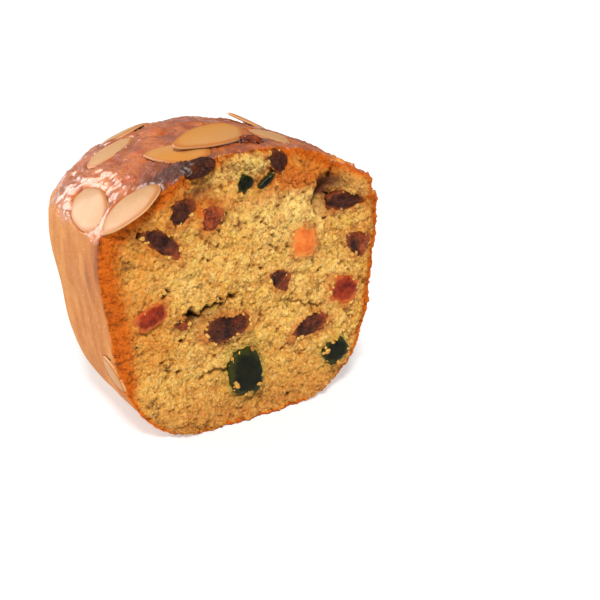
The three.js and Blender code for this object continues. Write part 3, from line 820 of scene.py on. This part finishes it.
def mottle(tree, light, dark, spot, fine, contrast=1.0):
    values = {"Light": light, "Dark": dark, "Spot Size": spot, "Fine Size": fine, "Contrast": contrast}
    made = node(tree, "ShaderNodeGroup", node_tree=bpy.data.node_groups["foodMottle"])
    for label, value in values.items():
        made.inputs[label].default_value = value
    return made.outputs["Color"]


def newMaterial(name, finish):
    material = bpy.data.materials.new(name)
    material.use_nodes = True
    shader = material.node_tree.nodes["Principled BSDF"]
    for label, value in finish.items():
        shader.inputs[label].default_value = value
    return material, material.node_tree, shader.inputs


def attribute(tree, name):
    return node(tree, "ShaderNodeAttribute", attribute_name=name).outputs["Fac"]


cakeLook = {
    "crumbLight": rgb(236, 184, 90), "crumbGold": rgb(224, 156, 62), "crumbTan": rgb(184, 114, 48),
    # On this line the near-black brown is painted shade for cracks and holes, and the palest crumb also paints
    # light.
    "crumbPaleAndPaintedLight": rgb(255, 220, 132), "crumbLime": rgb(226, 190, 84), "paintedCrackShade": rgb(64, 30, 14),
    # The deepest brown here is used for dark specks and also as painted shade in recesses.
    "crumbToast": rgb(204, 118, 38), "crumbLow": rgb(202, 122, 52), "crumbDarkSpeckAndShade": rgb(118, 62, 24),
    # The plum colour is a stain and also paints shade under fruit and along the tear.
    "scorch": rgb(206, 104, 30), "juice": rgb(196, 112, 54), "plum": rgb(96, 52, 40), "leaf": rgb(126, 124, 48),
    "crustBand": rgb(222, 112, 22), "crustDeep": rgb(188, 84, 16), "crustGlow": rgb(228, 146, 50),
    "crustSkin": rgb(200, 110, 52), "bareCrust": rgb(238, 162, 78), "bareDark": rgb(206, 116, 48),
    # The golden wall colour paints backlight on the back of the wall.
    "wallLight": rgb(222, 152, 86), "wallDark": rgb(198, 120, 62), "wallBacklitGold": rgb(232, 156, 70),
    # The pale wall colour paints glints; the darkest brown is the underside crust with painted contact shade.
    "wallGlint": rgb(240, 190, 136), "foot": rgb(110, 62, 42), "drip": rgb(142, 78, 58),
    "glazeLight": rgb(208, 112, 46), "glazeDark": rgb(156, 74, 32), "glazeThin": rgb(198, 84, 22),
    "glazeStain": rgb(70, 28, 22), "glazeSpot": rgb(146, 62, 34),
    "glazeCoat": 1.0, "dryRough": 0.78, "glazeRough": 0.42, "bandWander": 3.4,
}

# Specks of one colour over another: how far the noise is shifted, its size, detail and roughness, the noise
# levels where the specks start and are full, their strength and their colour.
crumbPatches = (
    ((0, 0, 0), 5.0, 3.0, 0.5, 0.5, 0.68, 0.6, "crumbTan"),
    ((9, 3, 21), 4.0, 3.0, 0.5, 0.5, 0.66, 0.5, "crumbLime"),
    ((17, 29, 2), 2.3, 3.0, 0.6, 0.54, 0.68, 0.6, "crumbPaleAndPaintedLight"),
    ((2, 13, 37), 2.3, 3.0, 0.6, 0.55, 0.68, 0.6, "crumbToast"),
)
crumbPoints = ((31, 7, 13), 0.8, 3.0, 0.6, 0.5, 0.66, 0.75, "crumbPaleAndPaintedLight")
insideSpeckle = ((3, 41, 5), 0.7, 3.0, 0.6, 0.6, 0.68, 0.65, "crumbDarkSpeckAndShade")
wallSpecks = (
    ((0, 0, 0), 1.1, 3.0, 0.5, 0.56, 0.68, 0.35, "crustSkin"),
    ((3, 8, 1), 3.4, 4.0, 0.65, 0.5, 0.64, 0.35, "crustSkin"),
    # painted glints: pale specks on the wall
    ((5, 17, 3), 0.9, 3.0, 0.5, 0.6, 0.72, 0.5, "wallGlint"),
)
glazeSpots = ((12, 5, 8), 1.7, 3.0, 0.6, 0.54, 0.66, 0.6, "glazeSpot")


def cakeMaterial():
    look = cakeLook
    material, tree, sockets = newMaterial("bakedCake", {
        "Specular IOR Level": 0.1, "Coat Roughness": 0.17, "Coat IOR": 1.33, "Subsurface Weight": 0.08,
        "Subsurface Radius": (1.0, 0.55, 0.25), "Subsurface Scale": 0.0016})
    place = placeInMm(tree)
    along, height = axes(tree, place)["Y"], axes(tree, place)["Z"]
    has = {name: attribute(tree, name) for name in (
        "skinDepth", "reliefShading", "topSkin", "pit", "bright", "grainTone", "juice", "leaf", "scorch", "plum", "bandWide",
        "hollow", "nearCut", "stain", "drip", "bare")}

    def lay(under, mask, share, colour):
        return mix(tree, times(tree, mask, share), under, look[colour])

    def speck(under, base, by, size, detail, roughness, low, high, share, colour):
        mask = ramp(tree, noise(tree, shifted(tree, base, by), size, detail, roughness), low, high)
        return lay(under, mask, share, colour)

    crumb = mottle(tree, look["crumbLight"], look["crumbGold"], 7.0, 1.6, 1.3)
    # painted light: patches of paler crumb where light falls on the cut
    crumb = lay(crumb, has["bright"], 0.85, "crumbPaleAndPaintedLight")
    for patch in crumbPatches:
        crumb = speck(crumb, place, *patch)
    flecks = plus(tree, ramp(tree, noise(tree, place, 0.9, 3.0, 0.6), 0.5, 0.66),
                  ramp(tree, has["grainTone"], 0.7, 1.0))
    crumb = lay(crumb, flecks, 0.6, "crumbTan")
    crumb = speck(crumb, place, *crumbPoints)
    # painted light: paler where the crumb stands proud
    crumb = lay(crumb, ramp(tree, has["reliefShading"], -0.1, -0.55), 0.6, "crumbPaleAndPaintedLight")
    crumb = lay(crumb, ramp(tree, height, 22.0, 3.0), 0.6, "crumbLow")
    # the last of these, plum, is partly stain and partly painted shade
    for name in ("juice", "leaf", "scorch", "plum"):
        crumb = mix(tree, has[name], crumb, look[name])

    wander = times(tree, swing(tree, place, 3.0, 3.0), look["bandWander"])
    bandAt = maths(tree, "DIVIDE", plus(tree, has["skinDepth"], wander), has["bandWide"])
    inside = lay(crumb, ramp(tree, bandAt, 0.8, 2.4, 1.0, 0.0), 0.45, "crustGlow")
    band = mottle(tree, look["crustBand"], look["crustDeep"], 2.0, 0.5)
    inside = mix(tree, ramp(tree, bandAt, 0.45, 1.25, 1.0, 0.0), inside, band)
    inside = speck(inside, place, *insideSpeckle)
    # painted shade: darker where the crumb is pushed in
    inside = mix(tree, ramp(tree, has["reliefShading"], 0.1, 1.0), inside, look["crumbDarkSpeckAndShade"])
    # painted shade: the crumb is darkened in the cracks and holes
    inside = lay(inside, has["hollow"], 0.85, "paintedCrackShade")

    streak = ramp(tree, noise(tree, stretched(tree, place, (1, 1, 0.3)), 5.0, 4.0, 0.6), 0.3, 0.7)
    wall = mix(tree, streak, look["wallDark"], look["wallLight"])
    # painted backlight: the wall turns golder towards the back
    wall = lay(wall, ramp(tree, along, -6.0, 14.0), 0.5, "wallBacklitGold")
    for specks in wallSpecks:
        wall = speck(wall, place, *specks)
    wall = mix(tree, has["nearCut"], wall, look["crustBand"])
    wall = mix(tree, has["drip"], wall, look["drip"])
    # darker at the very bottom of the wall: the dark underside crust, with painted contact shade
    wall = lay(wall, ramp(tree, height, 1.6, 0.2), 0.8, "foot")

    runny = stretched(tree, place, (1, 0.5, 0.8))
    pooled = ramp(tree, noise(tree, runny, 6.0, 4.0, 0.6), 0.34, 0.66)
    glaze = mix(tree, pooled, look["glazeDark"], look["glazeLight"])
    thin = times(tree, ramp(tree, noise(tree, runny, 4.0, 3.0), 0.55, 0.66), 0.6)
    glaze = mix(tree, maths(tree, "MAXIMUM", thin, has["pit"]), glaze, look["glazeThin"])
    glaze = speck(glaze, runny, *glazeSpots)
    glaze = mix(tree, has["stain"], glaze, look["glazeStain"])

    outside = mix(tree, has["topSkin"], wall, glaze)
    outside = mix(tree, has["bare"], outside, mottle(tree, look["bareCrust"], look["bareDark"], 2.4, 0.7, 1.3))
    skin = ramp(tree, has["skinDepth"], 0.12, 0.45, 1.0, 0.0)
    tree.links.new(mix(tree, skin, inside, outside), sockets["Base Color"])
    gloss = times(tree, has["topSkin"], skin, minus(tree, 1.0, has["bare"]))
    rough = ramp(tree, gloss, 0.0, 1.0, look["dryRough"], look["glazeRough"], smooth=False)
    tree.links.new(rough, sockets["Roughness"])
    tree.links.new(times(tree, gloss, look["glazeCoat"]), sockets["Coat Weight"])
    grit = times(tree, noise(tree, place, 0.5, 3.0, 0.6), minus(tree, 1.0, gloss))
    blister = times(tree, noise(tree, place, 0.9, 3.0, 0.6), gloss)
    bump = node(tree, "ShaderNodeBump", {"Height": plus(tree, grit, blister), "Strength": 0.8, "Distance": 0.0006})
    tree.links.new(bump.outputs[0], sockets["Normal"])
    return material


def raisinMaterial():
    material, tree, sockets = newMaterial("driedFruit", {
        "Roughness": 0.34, "Specular IOR Level": 0.1, "Coat Weight": 0.05, "Coat Roughness": 0.16,
        "Subsurface Weight": 0.06, "Subsurface Radius": (1.0, 0.3, 0.2), "Subsurface Scale": 0.001})
    dark = mottle(tree, rgb(94, 44, 24), rgb(38, 15, 7), 3.0, 0.8, 1.6)
    warm = mottle(tree, rgb(198, 92, 42), rgb(124, 50, 26), 3.0, 0.8, 1.4)
    red = plus(tree, attribute(tree, "red"), swing(tree, placeInMm(tree), 2.6, 2.0))
    colour = mix(tree, ramp(tree, red, 0.25, 0.8), dark, warm)
    # painted shade: the raisins are darker in their wrinkle creases
    colour = mix(tree, times(tree, attribute(tree, "crease"), 0.6), colour, rgb(36, 18, 16))
    colour = mix(tree, times(tree, attribute(tree, "edge"), 0.6), colour, rgb(150, 74, 34))
    tree.links.new(colour, sockets["Base Color"])
    return material


def candiedMaterial(name, light, dark, rim, glow):
    material, tree, sockets = newMaterial(name, {
        "Roughness": 0.32, "Specular IOR Level": 0.09, "Coat Weight": 0.05, "Coat Roughness": 0.12,
        "Subsurface Weight": glow, "Subsurface Radius": (1.0, 0.5, 0.3), "Subsurface Scale": 0.002})
    colour = mottle(tree, light, dark, 4.5, 1.2, 1.2)
    tree.links.new(mix(tree, times(tree, attribute(tree, "edge"), 0.65), colour, rim), sockets["Base Color"])
    return material


def almondMaterial():
    material, tree, sockets = newMaterial("almondSlice", {
        "Roughness": 0.45, "Specular IOR Level": 0.12, "Coat Weight": 0.05, "Subsurface Weight": 0.12,
        "Subsurface Radius": (1.0, 0.7, 0.4), "Subsurface Scale": 0.001})
    place = placeInMm(tree)
    rim = attribute(tree, "rim")
    wobble = plus(tree, rim, times(tree, swing(tree, place, 2.0, 2.0), 0.06))
    colour = mottle(tree, rgb(202, 160, 120), rgb(196, 148, 102), 5.0, 1.0, 1.2)
    colour = mix(tree, attribute(tree, "toast"), colour, rgb(200, 132, 52))
    colour = mix(tree, times(tree, ramp(tree, wobble, 0.78, 0.95), 0.8), colour, rgb(182, 104, 44))
    colour = mix(tree, times(tree, ramp(tree, rim, 0.985, 1.0), 0.6), colour, rgb(232, 190, 136))
    tree.links.new(colour, sockets["Base Color"])
    grain = noise(tree, place, 0.5, 2.0)
    bump = node(tree, "ShaderNodeBump", {"Height": grain, "Strength": 0.15, "Distance": 0.0001})
    tree.links.new(bump.outputs[0], sockets["Normal"])
    return material


bpy.context.scene.view_settings.view_transform = "Standard"
mottleGroup()
materials = {
    "cake": cakeMaterial(),
    "raisin": raisinMaterial(),
    "cherry": candiedMaterial("redCherry", rgb(172, 58, 24), rgb(92, 20, 10), rgb(214, 112, 48), 0.25),
    "orange": candiedMaterial("orangePeel", rgb(236, 134, 56), rgb(206, 84, 26), rgb(232, 150, 70), 0.35),
    "green": candiedMaterial("greenFruit", rgb(26, 27, 7), rgb(9, 11, 3), rgb(60, 62, 20), 0.03),
    "almond": almondMaterial(),
}
print("materials ready")


# Cake body.
cutTones = {  # x, z, width, height and strength of each patch on the cut
    "scorched": ((15.5, 69.5, 7.5, 3.4, 1.7), (8.0, 68.0, 26.0, 5.0, 0.3), (-20.0, 62.0, 8.0, 6.0, 0.25),
                 (-15.0, 66.0, 7.0, 4.0, 0.45), (4.0, 66.0, 5.0, 3.0, 0.3), (23.0, 66.0, 2.6, 4.0, 0.8),
                 (33.0, 68.5, 6.0, 3.5, 0.55), (-10.0, 77.5, 5.0, 2.4, 1.1), (-24.0, 69.0, 6.0, 3.5, 0.5),
                 (38.0, 58.0, 4.0, 8.0, 0.5), (-30.0, 30.0, 3.0, 8.0, 0.3)),
    # patches of painted light, where the crumb is made paler as if lit
    "bright": ((-2.5, 74.0, 9.0, 3.6, 1.3), (12.0, 60.0, 12.0, 6.5, 1.5), (4.0, 50.0, 14.0, 7.0, 0.3),
               (-22.0, 46.0, 8.0, 7.0, 0.5), (36.5, 62.0, 4.5, 4.0, 0.7), (20.0, 36.0, 14.0, 12.0, 0.4),
               (-18.0, 22.0, 8.0, 6.0, 0.35)),
    # plum-brown spots, partly stain and partly painted shade under fruit and along the tear
    "darkened": ((-16.0, 69.8, 4.0, 2.0, 0.9), (-22.6, 34.2, 3.6, 2.4, 0.55), (-14.5, 35.8, 4.5, 2.0, 0.45),
                (24.0, 62.5, 3.0, 3.4, 1.2), (27.3, 67.0, 2.0, 3.6, 0.9), (-34.0, 59.5, 2.0, 2.5, 0.5),
                (-9.0, 26.0, 5.0, 1.4, 0.4)),
    "crumbly": ((35, 65, 7, 6, 1), (-1, 74, 8, 3.5, 1)), "chunk": ((34, 64, 7, 8, 0.6),),
    "band": 3.0, "leftBand": 3.2, "leftFrom": (20, 34), "leftHeight": (8, 36), "footBand": 0.3, "footTo": (8, 26),
    "topBand": 0.8, "topAt": (-0.5, 9), "topFrom": (62, 70), "crackShadeFrom": (0.9, 2.6), "onCut": (0.1, 0.6),
    "most": 0.9, "lowCrumbly": (5, 12), "leftCrumbly": (2, 16), "crumblyLeast": 0.12,
    "bedShare": 0.7, "seepFrom": 0.9, "seepSpread": 0.16, "juice": 0.8, "leaf": 0.6,
}

skinTones = {  # on the glaze the spots are x, y; on the left wall they are y, z
    "glazeFrom": (58, 64), "glazeUp": (0.05, 0.4), "stainFrom": 62, "stainStrength": 1.3, "stainMost": 0.92,
    "stains": ((-18.5, -25, 11, 6, 1), (7, -17, 5.5, 4, 0.8)), "smear": ((-20, 48, 1.6, 4.5, 0.6),),
    "dripAt": -27.2, "dripSlant": 0.12, "dripWide": 2.0, "dripFrom": (44, 54), "drip": 0.75,
    "edgeBrown": 0.85, "edgeReach": (0.6, 4.5),
}


def cutLoaf():
    shell = addObject("loafShell", loafShell(fineness["crustSpacing"]))
    shell.data = runTree(shell, crustRelief(), crust)
    seatFlakes(shell.data)
    block = addObject("cutBlock", cutBlock(fineness["crumbSpacing"]))
    block.data = runTree(block, crumbRelief(), crumbDepths)
    print("shell", len(shell.data.polygons), "block", len(block.data.polygons))
    corners = [v.co for v in shell.data.vertices]
    skinTree = BVHTree.FromPolygons(corners, [p.vertices for p in shell.data.polygons])
    cut = shell.modifiers.new("cut", "BOOLEAN")
    cut.operation = "INTERSECT"
    cut.solver = "MANIFOLD"
    cut.object = block
    half = evaluated(shell)
    half.name = "cakeHalf"
    bpy.data.objects.remove(shell)
    bpy.data.objects.remove(block)
    depth = np.array([skinTree.find_nearest(Vector(p) * mm)[3] / mm for p in pointsOf(half)])
    return half, depth


def skinValues(half):
    tones = skinTones
    x, y, z = pointsOf(half).T
    up = readOut(half.vertices, len(half.vertices), "normal")[:, 2]
    rise = smoothStep(z + 2.0 * np.sin(x / 3.3) * np.sin(y / 2.7), *tones["glazeFrom"])
    yield "topSkin", rise * smoothStep(up, *tones["glazeUp"])
    stain = softSpots(x, y, tones["stains"]) * tones["stainStrength"]
    yield "stain", np.clip(stain, 0, tones["stainMost"]) * (z > tones["stainFrom"])
    slant = (y - tones["dripAt"] + tones["dripSlant"] * (z - tones["glazeFrom"][0])) / tones["dripWide"]
    run = np.exp(-slant ** 2) * smoothStep(z, *tones["dripFrom"])
    drip = tones["drip"] * run + softSpots(y, z, tones["smear"])
    yield "drip", np.clip(drip * (x < 0), 0, 1)
    nearCut = 1 - smoothStep(y - loaf["cutY"] + 0.8 * patchNoise(y, z, 1.8, 23), *tones["edgeReach"])
    yield "nearCut", np.clip(nearCut, 0, 1) * tones["edgeBrown"]


def cutValues(half, depth):
    tones = cutTones
    x, _, z = pointsOf(half).T
    onCut = smoothStep(depth, *tones["onCut"])
    ragged = 1 + 0.5 * patchNoise(x, z, 2.0, 21) + 0.3 * patchNoise(x, z, 0.9, 22)
    yield "skinDepth", depth
    yield "scorch", np.clip(softSpots(x, z, tones["scorched"]) * ragged, 0, tones["most"]) * onCut
    # plum stain mixed with painted shade
    yield "plum", np.clip(softSpots(x, z, tones["darkened"]) * ragged, 0, tones["most"]) * onCut
    # the painted light patches
    yield "bright", np.clip(softSpots(x, z, tones["bright"]) * ragged, 0, 1)
    # how deep the cracks and holes go, the mask for the painted shade in them
    yield "hollow", smoothStep(crackDepth(x, z), *tones["crackShadeFrom"]) * onCut
    left = smoothStep(-x, *tones["leftFrom"]) * smoothStep(z, *tones["leftHeight"])
    wide = tones["band"] + tones["leftBand"] * left
    topAt, topWide = tones["topAt"]
    topThin = 1 - tones["topBand"] * np.exp(-((x - topAt) / topWide) ** 2) * smoothStep(z, *tones["topFrom"])
    lowThin = tones["footBand"] + (1 - tones["footBand"]) * smoothStep(z, *tones["footTo"])
    yield "bandWide", wide * topThin * lowThin * (1 - softSpots(x, z, tones["chunk"]))
    lowFront = (1 - smoothStep(z, *tones["lowCrumbly"])) * (1 - smoothStep(x, *tones["leftCrumbly"]))
    yield "crumbly", np.clip(lowFront + softSpots(x, z, tones["crumbly"]) + tones["crumblyLeast"], 0, 1)
    reaches = {name: fruitReach(fruit, x, z) for name, fruit in fruits.items()}
    yield "inBed", (np.min(list(reaches.values()), axis=0) < tones["bedShare"]).astype(float)
    juice, leaf = np.zeros(len(x)), np.zeros(len(x))
    patchy = 0.7 + 0.5 * patchNoise(x, z, 1.5, 8)
    for name, fruit in fruits.items():
        near = np.exp(-np.maximum(reaches[name] - tones["seepFrom"], 0) ** 2 / tones["seepSpread"]) * patchy
        darkened = leaf if fruit["kind"] == "green" else juice
        np.maximum(darkened, near, out=darkened)
    yield "juice", np.clip(juice, 0, 1) * onCut * tones["juice"]
    yield "leaf", np.clip(leaf, 0, 1) * onCut * tones["leaf"]


half, skinGap = cutLoaf()
cake = addObject("cakeHalf", half)
for name, values in (*skinValues(half), *cutValues(half, skinGap)):
    setValue(half, name, values)
half.materials.clear()
half.materials.append(materials["cake"])
half.shade_smooth()
print("cake", triangles(half), "triangles")
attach(cake, "root")
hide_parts("cake_body")


# Fruit.
wrinkles = {
    "raisin": {"Fold Size": 2.3, "Fold Depth": 0.55, "Dimple Depth": 0.2},
    "cherry": {"Fold Size": 4.0, "Fold Depth": 0.15, "Dimple Depth": 0.08},
    "orange": {"Fold Size": 4.0, "Fold Depth": 0.12, "Dimple Depth": 0.08},
    "green": {"Fold Size": 4.5, "Fold Depth": 0.12, "Dimple Depth": 0.06},
}
wrinkle = wrinkleTree()


def placeFruit(name, data, kind):
    piece = addObject(name + "_look", data)
    piece.data = runTree(piece, wrinkle, wrinkles[kind])
    piece.data.materials.clear()
    piece.data.materials.append(materials[kind])
    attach(piece, "root")
    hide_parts(name)


for name, fruit in fruits.items():
    placeFruit(name, fruitMesh(name, fruit), fruit["kind"])
for name, raisin in glazedRaisins.items():
    placeFruit(name, glazedRaisinMesh(name, raisin), "raisin")
print("fruit placed")


# Almond flakes.
for name, flake in flakes.items():
    piece = addObject(name + "_look", flakeMesh(name, flake))
    piece.data.materials.append(materials["almond"])
    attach(piece, "root")
    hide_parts(name)
print("flakes placed")


# Loose crumbs clinging to the cut, and to the fruit. Sizes are in millimetres, density per square millimetre.
crumbForms = {"inside": 0.5, "facing": -0.25, "clearOfFruit": 0.5, "squashLeast": (0.75, 0.7, 0.6),
              "squashMost": (1.3, 1.1, 1.0), "jitterSize": 1 / 2.2, "fullTurn": (6.28, 6.28, 6.28)}
crumbs = {
    "fineGrains": {"Density": 1.32, "Small": 0.3, "Large": 0.75, "Seed": 7, "Detail": 1, "Sink": 0.12},
    "crumbLumps": {"Density": 0.3, "Small": 0.5, "Large": 1.25, "Seed": 11, "Detail": 2, "Sink": 0.25},
    "bigLumps": {"Density": 0.4, "Small": 1.0, "Large": 3.0, "Seed": 31, "Detail": 3, "Sink": 0.8, "Focus": 1.0,
                 "Shove": 1.7},
    "fruitCrumbs": {"Density": 0.62, "Small": 0.5, "Large": 1.8, "Seed": 21, "Detail": 2, "Sink": 0.2},
}


def chance(tree, seed, low=None, high=None):
    kind, output, ends = ("FLOAT", 1, {}) if low is None else ("FLOAT_VECTOR", 0, {0: low, 1: high})
    return node(tree, "FunctionNodeRandomValue", {**ends, "Seed": seed}, data_type=kind).outputs[output]


def crumbTree():
    tree, given, out = geometryTree("clingingCrumbs", {
        "Density": 0.4, "Small": 0.3, "Large": 0.9, "Sink": 0.2, "Detail": 1, "Seed": 1, "Focus": 0.0,
        "Shove": 0.9, "Material": None})
    form = crumbForms
    inner = maths(tree, "GREATER_THAN", readValue(tree, "skinDepth"), form["inside"])
    facing = axes(tree, node(tree, "GeometryNodeInputNormal").outputs[0])["Y"]
    front = times(tree, inner, maths(tree, "LESS_THAN", facing, form["facing"]),
                  maths(tree, "LESS_THAN", readValue(tree, "inBed"), form["clearOfFruit"]))
    crumbly = minus(tree, readValue(tree, "crumbly"), 1.0)
    share = maths(tree, "MULTIPLY_ADD", given["Focus"], crumbly, 1.0)
    dense = times(tree, given["Density"], share, 1 / mm ** 2)
    spread = node(tree, "GeometryNodeDistributePointsOnFaces", {
        "Mesh": given[0], "Selection": front, "Density": dense, "Seed": given["Seed"]}).outputs
    sunk = moved(tree, spread[0], scaled(tree, spread["Normal"], times(tree, given["Sink"], -mm)))
    grain = node(tree, "GeometryNodeMeshIcoSphere", {"Radius": 0.5, "Subdivisions": given["Detail"]}).outputs[0]
    mostlySmall = maths(tree, "POWER", chance(tree, 5), 2.0)
    size = ramp(tree, mostlySmall, 0.0, 1.0, given["Small"], given["Large"], smooth=False)
    squash = chance(tree, 9, form["squashLeast"], form["squashMost"])
    placed = node(tree, "GeometryNodeInstanceOnPoints", {
        "Points": sunk, "Instance": grain, "Rotation": chance(tree, 3, (0, 0, 0), form["fullTurn"]),
        "Scale": scaled(tree, squash, times(tree, size, mm))}).outputs[0]
    toned = stored(tree, placed, "grainTone", chance(tree, 13), "INSTANCE")
    real = node(tree, "GeometryNodeRealizeInstances", {"Geometry": toned}).outputs[0]
    jitter = noise(tree, placeInMm(tree), form["jitterSize"], 1.0, output="Color")
    shove = vectorMaths(tree, "SUBTRACT", jitter, (0.5, 0.5, 0.5))
    lumpy = moved(tree, real, scaled(tree, shove, times(tree, given["Shove"], mm)))
    shaded = node(tree, "GeometryNodeSetShadeSmooth", {"Geometry": lumpy}).outputs[0]
    done = node(tree, "GeometryNodeSetMaterial", {"Geometry": shaded, "Material": given["Material"]}).outputs[0]
    tree.links.new(done, out.inputs[0])
    return tree


def fruitSkins(names):  # one mesh of all the fruit in the cut, for the crumbs on it
    points, faces, dusted, start = [], [], [], 0
    for name in names:
        data = bpy.data.objects[name + "_look"].data
        count = len(data.vertices)
        points.append(pointsOf(data))
        faces += [[start + v for v in p.vertices] for p in data.polygons]
        dusted.append(readOut(data.attributes["dusted"].data, count, "value", 1))
        start += count
    made = meshFrom("fruitSkins", np.concatenate(points), faces)
    setValue(made, "skinDepth", np.full(start, 30.0))
    setValue(made, "bandWide", np.ones(start))
    setValue(made, "inBed", (np.concatenate(dusted) < 0.95).astype(float))
    return made


crumbScatter = crumbTree()
for name, spread in crumbs.items():
    grains = addObject(name, fruitSkins(fruits) if name == "fruitCrumbs" else cake.data.copy())
    grains.data = runTree(grains, crumbScatter, {**spread, "Material": materials["cake"]})
    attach(grains, "root")
    print(name, triangles(grains.data), "triangles")


# Stage, light and camera.
stage = {"half": 4000, "drop": -0.05, "fill": 0.33, "fillColour": (1, 0.99, 0.97, 1)}
suns = {  # where each light stands, its angle in degrees, strength and colour
    "keyLight": ((-0.32, -0.62, 0.9), 11, 2.75, (1, 0.985, 0.96)),
    "backLight": ((-0.56, 0.56, 0.6), 30, 1.0, (1, 0.99, 0.97)),
    "sheenLight": ((-0.62, 0.6, 0.5), 64, 9.0, (1, 0.94, 0.88)),
}


def softSun(name, towards, angle, strength, colour):
    lamp = bpy.data.lights.new(name, "SUN")
    lamp.angle = math.radians(angle)
    lamp.energy = strength
    lamp.color = colour
    thing = addObject(name, lamp)
    thing.location = towards
    thing.rotation_euler = Vector(towards).to_track_quat("Z", "Y").to_euler()
    return thing


floorMaterial, _, _ = newMaterial("paleFloor", {
    "Base Color": (0.6, 0.63, 0.66, 1), "Roughness": 0.6, "Emission Color": (1, 1, 1, 1),
    "Emission Strength": 0.42, "Specular IOR Level": 0.2})
square = np.array([(-1, -1, 0), (1, -1, 0), (1, 1, 0), (-1, 1, 0)]) * stage["half"] + (0, 0, stage["drop"])
floor = addObject("floor", meshFrom("floor", square, [[0, 1, 2, 3]]))
floor.data.materials.append(floorMaterial)

world = bpy.data.worlds.new("studio")
world.use_nodes = True
sky = world.node_tree
fill = sky.nodes["Background"]
fill.inputs[0].default_value = stage["fillColour"]
fill.inputs[1].default_value = stage["fill"]
backdrop = node(sky, "ShaderNodeBackground", {0: (1, 1, 1, 1), 1: 1.0})  # the camera sees plain white
seen = node(sky, "ShaderNodeMixShader", {0: node(sky, "ShaderNodeLightPath").outputs["Is Camera Ray"],
                                         1: fill.outputs[0], 2: backdrop.outputs[0]})
sky.links.new(seen.outputs[0], sky.nodes["World Output"].inputs[0])
bpy.context.scene.world = world

lights = {name: softSun(name, *sun) for name, sun in suns.items()}
lights["sheenLight"].visible_diffuse = False  # only for the shine on the glaze

viewPoint = {"azimuth": -32.2, "elevation": 23.5, "distance": 340.5, "across": 25.2, "up": -2.8, "lens": 70.1,
             "aim": (0, -5, 30), "sensor": 36}


def placeCamera():
    a, e = math.radians(viewPoint["azimuth"]), math.radians(viewPoint["elevation"])
    back = Vector((math.sin(a) * math.cos(e), -math.cos(a) * math.cos(e), math.sin(e)))
    right = (-back).cross(Vector((0, 0, 1))).normalized()
    up = right.cross(-back)
    lens = bpy.data.cameras.new("camera")
    lens.lens = viewPoint["lens"]
    lens.sensor_width = viewPoint["sensor"]
    lens.clip_start = 0.01
    camera = addObject("camera", lens)
    place = back * viewPoint["distance"] + right * viewPoint["across"] + up * viewPoint["up"]
    camera.location = (place + Vector(viewPoint["aim"])) * mm
    camera.rotation_euler = Matrix((right, up, back)).transposed().to_euler()
    bpy.context.scene.camera = camera


placeCamera()

bpy.context.view_layer.update()
print("done")
